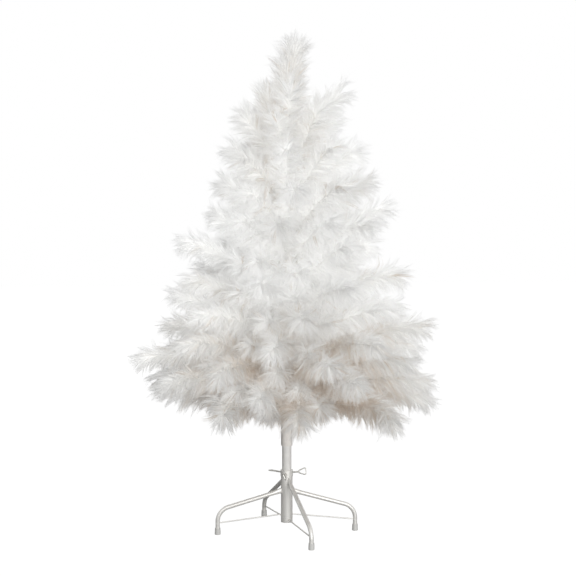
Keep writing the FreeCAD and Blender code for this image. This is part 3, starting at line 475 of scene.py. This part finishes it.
def mesh_object(name, vertices, quads, triangles):
    """A mesh object of quads followed by triangles, filled with foreach_set."""
    mesh = bpy.data.meshes.new(name)
    corners = np.concatenate((quads.reshape(-1), triangles.reshape(-1))).astype(np.int32)
    starts = np.concatenate((
        np.arange(len(quads)) * 4,
        len(quads) * 4 + np.arange(len(triangles)) * 3,
    )).astype(np.int32)
    mesh.vertices.add(len(vertices))
    mesh.vertices.foreach_set("co", vertices.astype(np.float32).reshape(-1))
    mesh.loops.add(corners.size)
    mesh.loops.foreach_set("vertex_index", corners)
    mesh.polygons.add(starts.size)
    mesh.polygons.foreach_set("loop_start", starts)
    mesh.update(calc_edges=True)
    mesh.validate()
    piece = bpy.data.objects.new(name, mesh)
    bpy.context.scene.collection.objects.link(piece)
    return piece


# Where the ribbons and the stems lie in the UV map; V carries the painted shade, which on the stems
# grows a little towards their base
FIBRE_U_START = 0.08
FIBRE_U_SPAN = 0.9
SHADE_WIDTH = 0.004
STEM_U_SPAN = 0.05
STEM_V_START = 0.22
STEM_V_FALL = 0.1
STEM_END_V = (0.25, 0.1)


def plume_uvs(shade, plumes):
    """UV of each vertex: U runs from a fibre's root to its tip, and V is its tuft's painted shade;
    then the stems, whose V is a painted shade a little greater towards their base.
    """
    fibre_u = np.tile(FIBRE_STEPS[RIBBON_STEPS] * FIBRE_U_SPAN + FIBRE_U_START, len(shade))
    fibre_v = (shade[:, None] + RIBBON_SIDES * SHADE_WIDTH).reshape(-1)
    ring = np.arange(STEM_SIDES) / STEM_SIDES * STEM_U_SPAN
    stem_u = np.concatenate((np.tile(ring, STEM_STEPS), (STEM_U_SPAN / 2, STEM_U_SPAN / 2)))
    stem_v = np.repeat(STEM_V_START - STEM_V_FALL * STEM_STATIONS, STEM_SIDES)
    stem_v = np.concatenate((stem_v, STEM_END_V))
    u = np.concatenate((fibre_u, np.tile(stem_u, plumes)))
    v = np.concatenate((fibre_v, np.tile(stem_v, plumes)))
    return np.stack((u, v), axis=-1)


def plume_piece(name, axes, fibre, tufts, seed, painted_shade, material):
    """One piece with the stems and fibres of some plumes, with the UV map that its material reads."""
    hair, hair_quads, hair_points, shade = fibre_mesh(axes, fibre, tufts, seed, painted_shade)
    stem, stem_quads, stem_caps = stem_mesh(axes, fibre)
    vertices = np.concatenate((hair, stem))
    quads = np.concatenate((hair_quads, stem_quads + len(hair)))
    triangles = np.concatenate((hair_points, stem_caps + len(hair)))
    piece = mesh_object(name, vertices, quads, triangles)
    corner = np.empty(len(piece.data.loops), np.int32)
    piece.data.loops.foreach_get("vertex_index", corner)
    uvs = plume_uvs(shade, axes[0].size)[corner]
    layer = piece.data.uv_layers.new(name=UV_NAME)
    layer.data.foreach_set("uv", uvs.astype(np.float32).reshape(-1))
    piece.data.materials.append(material)
    return piece


def new_material(name):
    """An empty node material, its node tree, and its Principled shader and output, joined."""
    material = bpy.data.materials.new(name)
    material.use_nodes = True
    tree = material.node_tree
    tree.nodes.clear()
    output = tree.nodes.new("ShaderNodeOutputMaterial")
    shader = tree.nodes.new("ShaderNodeBsdfPrincipled")
    tree.links.new(shader.outputs["BSDF"], output.inputs["Surface"])
    return material, tree, shader, output


def group(name, inputs, outputs):
    """A shader node group with named sockets, and its input and output nodes."""
    tree = bpy.data.node_groups.new(name, "ShaderNodeTree")
    for label, kind, default in inputs:
        socket = tree.interface.new_socket(label, in_out="INPUT", socket_type=kind)
        if default is not None:
            socket.default_value = default
    for label, kind in outputs:
        tree.interface.new_socket(label, in_out="OUTPUT", socket_type=kind)
    return tree, tree.nodes.new("NodeGroupInput"), tree.nodes.new("NodeGroupOutput")


def use_group(tree, kind, values):
    """Places a group in a material and sets its inputs."""
    node = tree.nodes.new("ShaderNodeGroup")
    node.node_tree = kind
    for label, value in values.items():
        node.inputs[label].default_value = value
    return node


def rgba(colour):
    """The colour with full alpha."""
    return (*colour, 1.0)


def grey(level):
    """An even grey with full alpha."""
    return rgba((level, level, level))


def darker(colour, share):
    """The colour times a share."""
    return tuple(part * share for part in colour)


NOISE_DETAIL = 5.0
NOISE_ROUGHNESS = 0.6
PATCH_RANGE = (0.35, 0.68)


def uneven_tone():
    """Group: a colour that drifts between two tones by soft noise."""
    name = "Uneven tone"
    if name in bpy.data.node_groups:
        return bpy.data.node_groups[name]
    tree, source, result = group(
        name,
        (("Vector", "NodeSocketVector", None), ("Tone", "NodeSocketColor", grey(0.8)),
         ("Second Tone", "NodeSocketColor", grey(0.7)), ("Scale", "NodeSocketFloat", 40.0),
         ("Amount", "NodeSocketFloat", 0.5)),
        (("Color", "NodeSocketColor"), ("Mask", "NodeSocketFloat")),
    )
    noise = tree.nodes.new("ShaderNodeTexNoise")
    noise.inputs["Detail"].default_value = NOISE_DETAIL
    noise.inputs["Roughness"].default_value = NOISE_ROUGHNESS
    spread = tree.nodes.new("ShaderNodeMapRange")
    spread.inputs["From Min"].default_value = PATCH_RANGE[0]
    spread.inputs["From Max"].default_value = PATCH_RANGE[1]
    amount = tree.nodes.new("ShaderNodeMath")
    amount.operation = "MULTIPLY"
    mix = tree.nodes.new("ShaderNodeMix")
    mix.data_type = "RGBA"
    tree.links.new(source.outputs["Vector"], noise.inputs["Vector"])
    tree.links.new(source.outputs["Scale"], noise.inputs["Scale"])
    tree.links.new(noise.outputs["Fac"], spread.inputs["Value"])
    tree.links.new(spread.outputs["Result"], amount.inputs[0])
    tree.links.new(source.outputs["Amount"], amount.inputs[1])
    tree.links.new(amount.outputs["Value"], mix.inputs["Factor"])
    tree.links.new(source.outputs["Tone"], mix.inputs["A"])
    tree.links.new(source.outputs["Second Tone"], mix.inputs["B"])
    tree.links.new(mix.outputs["Result"], result.inputs["Color"])
    tree.links.new(spread.outputs["Result"], result.inputs["Mask"])
    return tree


def fine_grain():
    """Group: a height for bump, two scales of noise added together."""
    name = "Fine grain"
    if name in bpy.data.node_groups:
        return bpy.data.node_groups[name]
    tree, source, result = group(
        name,
        (("Vector", "NodeSocketVector", None), ("Scale", "NodeSocketFloat", 900.0),
         ("Coarse Scale", "NodeSocketFloat", 120.0), ("Coarse Share", "NodeSocketFloat", 0.4)),
        (("Height", "NodeSocketFloat"),),
    )
    fine = tree.nodes.new("ShaderNodeTexNoise")
    coarse = tree.nodes.new("ShaderNodeTexNoise")
    mix = tree.nodes.new("ShaderNodeMix")
    mix.data_type = "FLOAT"
    tree.links.new(source.outputs["Vector"], fine.inputs["Vector"])
    tree.links.new(source.outputs["Vector"], coarse.inputs["Vector"])
    tree.links.new(source.outputs["Scale"], fine.inputs["Scale"])
    tree.links.new(source.outputs["Coarse Scale"], coarse.inputs["Scale"])
    tree.links.new(source.outputs["Coarse Share"], mix.inputs["Factor"])
    tree.links.new(fine.outputs["Fac"], mix.inputs["A"])
    tree.links.new(coarse.outputs["Fac"], mix.inputs["B"])
    tree.links.new(mix.outputs["Result"], result.inputs["Height"])
    return tree


def coated(name, tone, settings):
    """A surface with uneven tone, rough and smooth patches and a fine grain, in Object coordinates."""
    if name in bpy.data.materials:
        return bpy.data.materials[name]
    material, tree, shader, _ = new_material(name)
    second_tone = darker(tone, settings["second_share"])
    place = tree.nodes.new("ShaderNodeTexCoord")
    colour = use_group(tree, uneven_tone(), {
        "Tone": rgba(tone), "Second Tone": rgba(second_tone), "Scale": settings["patch_scale"],
        "Amount": settings["patch_amount"],
    })
    grain = use_group(tree, fine_grain(), {
        "Scale": settings["grain_scale"], "Coarse Scale": settings["coarse_scale"],
        "Coarse Share": settings["coarse_share"],
    })
    rough = tree.nodes.new("ShaderNodeMapRange")
    rough.inputs["To Min"].default_value = settings["roughness"][0]
    rough.inputs["To Max"].default_value = settings["roughness"][1]
    bump = tree.nodes.new("ShaderNodeBump")
    bump.inputs["Strength"].default_value = settings["bump"]
    bump.inputs["Distance"].default_value = settings["bump_depth"]
    tree.links.new(place.outputs["Object"], colour.inputs["Vector"])
    tree.links.new(place.outputs["Object"], grain.inputs["Vector"])
    tree.links.new(colour.outputs["Color"], shader.inputs["Base Color"])
    tree.links.new(colour.outputs["Mask"], rough.inputs["Value"])
    tree.links.new(rough.outputs["Result"], shader.inputs["Roughness"])
    tree.links.new(grain.outputs["Height"], bump.inputs["Height"])
    tree.links.new(bump.outputs["Normal"], shader.inputs["Normal"])
    shader.inputs["Metallic"].default_value = settings.get("metallic", 0.0)
    shader.inputs["Coat Weight"].default_value = settings.get("coat", 0.0)
    shader.inputs["Coat Roughness"].default_value = settings.get("coat_roughness", 0.2)
    return material


# How much light comes through a fibre, how much passes between the finer fibres that aren't modelled,
# and at which painted shade and share of the length the painted colours are reached
FIBRE_GLOW_SHARE = 0.45
LIGHT_PASSED_SHARE = 0.95
LIGHT_SHADE = 0.4
ROOT_TONE_END = 0.55
FIBRE_SURFACE = {
    "Roughness": 0.62, "Sheen Weight": 0.25, "Sheen Roughness": 0.5, "Specular IOR Level": 0.3,
}


def fibre_material(colours):
    """Bleached grass fibre with painted light and shade: painted brightest beside the stem, greyer to the
    tip, and painted darker and warmer in the tufts that the UV's V marks as shaded.
    """
    name = "bleached_plume_fibre"
    if name in bpy.data.materials:
        return bpy.data.materials[name]
    material, tree, shader, output = new_material(name)
    layout = tree.nodes.new("ShaderNodeUVMap")
    layout.uv_map = UV_NAME
    split = tree.nodes.new("ShaderNodeSeparateXYZ")
    # Painted light: brighter at the fibre's root, greyer towards its tip
    ramp = tree.nodes.new("ShaderNodeMapRange")
    ramp.interpolation_type = "SMOOTHSTEP"
    ramp.inputs["From Min"].default_value = 0.0
    ramp.inputs["From Max"].default_value = ROOT_TONE_END
    length_mix = tree.nodes.new("ShaderNodeMix")
    length_mix.data_type = "RGBA"
    length_mix.inputs["A"].default_value = rgba(colours.fibre_root_painted_bright)
    length_mix.inputs["B"].default_value = rgba(colours.fibre_tip_painted_grey)
    # Painted shade: the UV's V picks a colour from the ramp, which multiplies the fibre's colour
    painted_shade = tree.nodes.new("ShaderNodeMix")
    painted_shade.data_type = "RGBA"
    painted_shade.blend_type = "MULTIPLY"
    painted_shade.inputs["Factor"].default_value = 1.0
    tones = tree.nodes.new("ShaderNodeValToRGB")
    tones.color_ramp.elements[0].color = grey(1.0)
    tones.color_ramp.elements[1].color = rgba(colours.fibre_painted_shade_deep)
    tones.color_ramp.elements.new(LIGHT_SHADE).color = rgba(colours.fibre_painted_shade_soft)
    tree.links.new(layout.outputs["UV"], split.inputs["Vector"])
    tree.links.new(split.outputs["X"], ramp.inputs["Value"])
    tree.links.new(ramp.outputs["Result"], length_mix.inputs["Factor"])
    tree.links.new(length_mix.outputs["Result"], painted_shade.inputs["A"])
    tree.links.new(split.outputs["Y"], tones.inputs["Fac"])
    tree.links.new(tones.outputs["Color"], painted_shade.inputs["B"])
    tree.links.new(painted_shade.outputs["Result"], shader.inputs["Base Color"])
    for label, value in FIBRE_SURFACE.items():
        shader.inputs[label].default_value = value
    glow = tree.nodes.new("ShaderNodeBsdfTranslucent")
    blend = tree.nodes.new("ShaderNodeMixShader")
    blend.inputs["Fac"].default_value = FIBRE_GLOW_SHARE
    tree.links.new(painted_shade.outputs["Result"], glow.inputs["Color"])
    tree.links.new(shader.outputs["BSDF"], blend.inputs[1])
    tree.links.new(glow.outputs["BSDF"], blend.inputs[2])
    clear = tree.nodes.new("ShaderNodeBsdfTransparent")
    path = tree.nodes.new("ShaderNodeLightPath")
    thin = tree.nodes.new("ShaderNodeMixShader")
    passed = tree.nodes.new("ShaderNodeMath")
    passed.operation = "MULTIPLY"
    passed.inputs[1].default_value = LIGHT_PASSED_SHARE
    tree.links.new(path.outputs["Is Shadow Ray"], passed.inputs[0])
    tree.links.new(passed.outputs["Value"], thin.inputs["Fac"])
    tree.links.new(blend.outputs["Shader"], thin.inputs[1])
    tree.links.new(clear.outputs["BSDF"], thin.inputs[2])
    tree.links.new(thin.outputs["Shader"], output.inputs["Surface"])
    return material


def finish_nodes(nodes, material):
    """Gives CAD nodes a material."""
    for name in nodes:
        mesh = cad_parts[name].data
        mesh.materials.clear()
        mesh.materials.append(material)


# Noise scales are per metre, depths are in metres, and the second tone is a share of the first
ENAMEL = {
    "second_share": 0.88, "patch_scale": 26.0, "patch_amount": 0.5,
    "grain_scale": 1400.0, "coarse_scale": 260.0, "coarse_share": 0.6, "roughness": (0.34, 0.5),
    "bump": 0.25, "bump_depth": 0.0004, "coat": 0.25, "coat_roughness": 0.25,
}
POLE_ENAMEL = dict(ENAMEL, second_share=0.86, patch_scale=55.0, patch_amount=0.7, roughness=(0.42, 0.6))
ZINC = {
    "second_share": 0.7, "patch_scale": 180.0, "patch_amount": 0.8,
    "grain_scale": 2600.0, "coarse_scale": 500.0, "coarse_share": 0.4, "roughness": (0.28, 0.45),
    "bump": 0.2, "bump_depth": 0.0002, "metallic": 1.0,
}
PLASTIC = {
    "second_share": 0.9, "patch_scale": 60.0, "patch_amount": 0.5,
    "grain_scale": 1800.0, "coarse_scale": 300.0, "coarse_share": 0.3, "roughness": (0.48, 0.62),
    "bump": 0.2, "bump_depth": 0.0003,
}
TAPE = {
    "second_share": 0.84, "patch_scale": 70.0, "patch_amount": 0.8,
    "grain_scale": 1500.0, "coarse_scale": 210.0, "coarse_share": 0.5, "roughness": (0.75, 0.92),
    "bump": 0.6, "bump_depth": 0.0006,
}
WIRE = {
    "second_share": 0.85, "patch_scale": 120.0, "patch_amount": 0.6,
    "grain_scale": 2000.0, "coarse_scale": 400.0, "coarse_share": 0.5, "roughness": (0.6, 0.8),
    "bump": 0.3, "bump_depth": 0.0002,
}


class PAMPAS_OT_stand_finish(Operator):
    """Paints the steel stand"""

    bl_idname = "pampas.stand_finish"
    bl_label = "Finish the stand"

    def execute(self, context):
        colours = context.scene.pampas_colours
        finish_nodes(STAND_NODES, coated("stand_enamel", colours.enamel, ENAMEL))
        return {"FINISHED"}


class PAMPAS_OT_foot_finish(Operator):
    """Gives the foot caps their moulded plastic"""

    bl_idname = "pampas.foot_finish"
    bl_label = "Finish the foot caps"

    def execute(self, context):
        colours = context.scene.pampas_colours
        finish_nodes(FOOT_NODES, coated("foot_cap_plastic", colours.foot_plastic, PLASTIC))
        return {"FINISHED"}


class PAMPAS_OT_bolt_finish(Operator):
    """Plates the eye bolts"""

    bl_idname = "pampas.bolt_finish"
    bl_label = "Finish the eye bolts"

    def execute(self, context):
        colours = context.scene.pampas_colours
        finish_nodes(BOLT_NODES, coated("bolt_zinc", colours.zinc, ZINC))
        return {"FINISHED"}


class PAMPAS_OT_pole_finish(Operator):
    """Paints the poles, moulds the plugs and papers the wraps"""

    bl_idname = "pampas.pole_finish"
    bl_label = "Finish the pole"

    def execute(self, context):
        colours = context.scene.pampas_colours
        finish_nodes(POLE_NODES, coated("pole_paint", colours.pole_enamel, POLE_ENAMEL))
        finish_nodes(PLUG_NODES, coated("plug_plastic", colours.plug_plastic, PLASTIC))
        finish_nodes(WRAP_NODES, coated("paper_tape", colours.tape, TAPE))
        return {"FINISHED"}


class PAMPAS_OT_wire_finish(Operator):
    """Coats the wires"""

    bl_idname = "pampas.wire_finish"
    bl_label = "Finish the wires"

    def execute(self, context):
        colours = context.scene.pampas_colours
        names = [f"tier_{tier + 1:02d}_wires" for tier in range(len(PLUMES_PER_RING))]
        finish_nodes(names + ["leader_wire"], coated("wire_coating", colours.wire, WIRE))
        return {"FINISHED"}


class PAMPAS_OT_tier_plumes(Operator):
    """Makes the feathery plumes of one tier"""

    bl_idname = "pampas.tier_plumes"
    bl_label = "Make a tier's plumes"

    tier: IntProperty(
        name="Tier", description="Counted from the lowest", default=1, min=1, max=len(PLUMES_PER_RING)
    )

    def execute(self, context):
        scene = context.scene
        index = self.tier - 1
        node = f"tier_{self.tier:02d}_plumes"
        axes = tier_axes(scene.pampas_tree, index)
        tufts = round(scene.pampas_fibre.tufts * PLUME_LENGTH_SHARES[index])
        piece = plume_piece(
            f"tier_{self.tier:02d}_feathers", axes, scene.pampas_fibre, tufts,
            scene.pampas_fibre.seed + self.tier, TIER_PAINTED_SHADES[index], fibre_material(scene.pampas_colours),
        )
        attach(piece, "lower_tree" if index < LOWER_TIERS else "upper_tree")
        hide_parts(node)
        return {"FINISHED"}


# The leader has this many times the tufts of the longest side plume
LEADER_TUFT_GAIN = 2


class PAMPAS_OT_leader_plume(Operator):
    """Makes the upright plume at the top"""

    bl_idname = "pampas.leader_plume"
    bl_label = "Make the leader"

    def execute(self, context):
        scene = context.scene
        piece = plume_piece(
            "leader_feathers", leader_axis(scene.pampas_tree), scene.pampas_fibre,
            LEADER_TUFT_GAIN * scene.pampas_fibre.tufts, scene.pampas_fibre.seed, TIER_PAINTED_SHADES[-1],
            fibre_material(scene.pampas_colours),
        )
        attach(piece, "upper_tree")
        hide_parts("leader_plume")
        return {"FINISHED"}


def area_light(name, place, target, size, power):
    """A square soft light that points at a target."""
    data = bpy.data.lights.new(name, "AREA")
    data.shape = "SQUARE"
    data.size = size
    data.energy = power
    lamp = bpy.data.objects.new(name, data)
    lamp.location = place
    direction = np.array(target) - np.array(place)
    level = math.hypot(direction[0], direction[1])
    lamp.rotation_euler = (math.atan2(level, -direction[2]), 0.0, math.atan2(-direction[0], direction[1]))
    bpy.context.scene.collection.objects.link(lamp)


SENSOR_WIDTH = 36.0
# Where the lamps stand, in metres
KEY_PLACE = (1.4, -4.2, 0.9)
FILL_PLACE = (-0.9, -4.0, 0.6)
BACK_PLACE = (-0.6, 4.2, 0.9)
# The floor's paint as it lights the tree, and, for the camera, its glow and the dim paint for the shadow
FLOOR_PAINT = 0.4
FLOOR_GLOW = 0.945
FLOOR_DIM = 0.25


class PAMPAS_OT_stage(Operator):
    """Makes the camera, the soft lights, the pale floor and the white surround"""

    bl_idname = "pampas.stage"
    bl_label = "Make the stage"

    def execute(self, context):
        scene = context.scene
        stage = scene.pampas_stage
        turn = stage.camera_turn
        back = (math.sin(turn), -math.cos(turn))
        right = (math.cos(turn), math.sin(turn))
        data = bpy.data.cameras.new("camera")
        data.lens = stage.lens
        data.sensor_width = SENSOR_WIDTH
        camera = bpy.data.objects.new("camera", data)
        camera.location = (
            back[0] * stage.camera_distance + right[0] * stage.camera_offset,
            back[1] * stage.camera_distance + right[1] * stage.camera_offset,
            stage.camera_height,
        )
        camera.rotation_euler = (math.pi / 2 - stage.camera_pitch, 0.0, turn)
        scene.collection.objects.link(camera)
        scene.camera = camera
        middle = (0.0, 0.0, scene.pampas_tree.tree_height / 2)
        area_light("key_light", KEY_PLACE, middle, stage.lamp_size, stage.key_power)
        area_light("fill_light", FILL_PLACE, middle, stage.lamp_size, stage.fill_power)
        area_light("back_light", BACK_PLACE, middle, stage.lamp_size, stage.back_power)
        self.make_world(scene, stage)
        self.make_floor(stage)
        scene.view_settings.view_transform = "Standard"
        return {"FINISHED"}

    def make_world(self, scene, stage):
        """White to the camera and in reflections, and softer for the light that it gives."""
        world = bpy.data.worlds.new("surround")
        world.use_nodes = True
        tree = world.node_tree
        tree.nodes.clear()
        output = tree.nodes.new("ShaderNodeOutputWorld")
        background = tree.nodes.new("ShaderNodeBackground")
        background.inputs["Color"].default_value = grey(1.0)
        path = tree.nodes.new("ShaderNodeLightPath")
        seen = tree.nodes.new("ShaderNodeMath")
        seen.operation = "MAXIMUM"
        either = tree.nodes.new("ShaderNodeMath")
        either.operation = "MAXIMUM"
        level = tree.nodes.new("ShaderNodeMapRange")
        level.inputs["To Min"].default_value = stage.world_level
        level.inputs["To Max"].default_value = 1.0
        tree.links.new(path.outputs["Is Camera Ray"], seen.inputs[0])
        tree.links.new(path.outputs["Is Glossy Ray"], seen.inputs[1])
        tree.links.new(seen.outputs["Value"], either.inputs[0])
        tree.links.new(path.outputs["Is Transmission Ray"], either.inputs[1])
        tree.links.new(either.outputs["Value"], level.inputs["Value"])
        tree.links.new(level.outputs["Result"], background.inputs["Strength"])
        tree.links.new(background.outputs["Background"], output.inputs["Surface"])
        scene.world = world

    def make_floor(self, stage):
        """A pale floor: mostly its own white to the camera, with the shadow of the stand laid on it."""
        half = stage.floor_radius
        corners = np.array(((-half, -half, 0), (half, -half, 0), (half, half, 0), (-half, half, 0)), float)
        floor = mesh_object("floor", corners, np.array(((0, 1, 2, 3),)), np.empty((0, 3), int))
        material = bpy.data.materials.new("pale_floor")
        material.use_nodes = True
        tree = material.node_tree
        tree.nodes.clear()
        output = tree.nodes.new("ShaderNodeOutputMaterial")
        paint = tree.nodes.new("ShaderNodeBsdfDiffuse")
        paint.inputs["Color"].default_value = grey(FLOOR_PAINT)
        glow = tree.nodes.new("ShaderNodeEmission")
        dim = tree.nodes.new("ShaderNodeBsdfDiffuse")
        dim.inputs["Color"].default_value = grey(FLOOR_DIM)
        add = tree.nodes.new("ShaderNodeAddShader")
        glow.inputs["Strength"].default_value = FLOOR_GLOW
        path = tree.nodes.new("ShaderNodeLightPath")
        mix = tree.nodes.new("ShaderNodeMixShader")
        tree.links.new(path.outputs["Is Camera Ray"], mix.inputs["Fac"])
        tree.links.new(paint.outputs["BSDF"], mix.inputs[1])
        tree.links.new(glow.outputs["Emission"], add.inputs[0])
        tree.links.new(dim.outputs["BSDF"], add.inputs[1])
        tree.links.new(add.outputs["Shader"], mix.inputs[2])
        tree.links.new(mix.outputs["Shader"], output.inputs["Surface"])
        floor.data.materials.append(material)


class VIEW3D_PT_pampas_tree(Panel):
    """Lists the tree's sizes and the steps that make it"""

    bl_label = "Pampas tree"
    bl_space_type = "VIEW_3D"
    bl_region_type = "UI"
    bl_category = "Pampas tree"

    def draw(self, context):
        layout = self.layout
        scene = context.scene
        for heading, settings in (
            ("Tree", scene.pampas_tree), ("Fibres", scene.pampas_fibre),
            ("Colours", scene.pampas_colours), ("Stage", scene.pampas_stage),
        ):
            column = layout.column(align=True)
            column.label(text=heading)
            for key in settings.bl_rna.properties.keys():
                if key not in ("rna_type", "name"):
                    column.prop(settings, key)
        for step in STEPS:
            layout.operator(step.bl_idname)


GROUPS = {
    "pampas_tree": TreeSizes,
    "pampas_fibre": FibreSizes,
    "pampas_colours": FinishColours,
    "pampas_stage": StageSizes,
}
STEPS = (
    PAMPAS_OT_stage,
    PAMPAS_OT_stand_finish,
    PAMPAS_OT_foot_finish,
    PAMPAS_OT_bolt_finish,
    PAMPAS_OT_pole_finish,
    PAMPAS_OT_wire_finish,
    PAMPAS_OT_tier_plumes,
    PAMPAS_OT_leader_plume,
)


def register():
    for name, kind in GROUPS.items():
        bpy.utils.register_class(kind)
        setattr(bpy.types.Scene, name, PointerProperty(type=kind))
    for kind in STEPS + (VIEW3D_PT_pampas_tree,):
        bpy.utils.register_class(kind)


def unregister():
    for kind in (VIEW3D_PT_pampas_tree,) + STEPS[::-1]:
        bpy.utils.unregister_class(kind)
    for name, kind in GROUPS.items():
        delattr(bpy.types.Scene, name)
        bpy.utils.unregister_class(kind)


def main():
    register()
    bpy.ops.pampas.stage()
    bpy.ops.pampas.stand_finish()
    bpy.ops.pampas.foot_finish()
    bpy.ops.pampas.bolt_finish()
    bpy.ops.pampas.pole_finish()
    bpy.ops.pampas.wire_finish()
    for tier in range(len(PLUMES_PER_RING)):
        bpy.ops.pampas.tier_plumes(tier=tier + 1)
    bpy.ops.pampas.leader_plume()


if __name__ == "__main__":
    main()
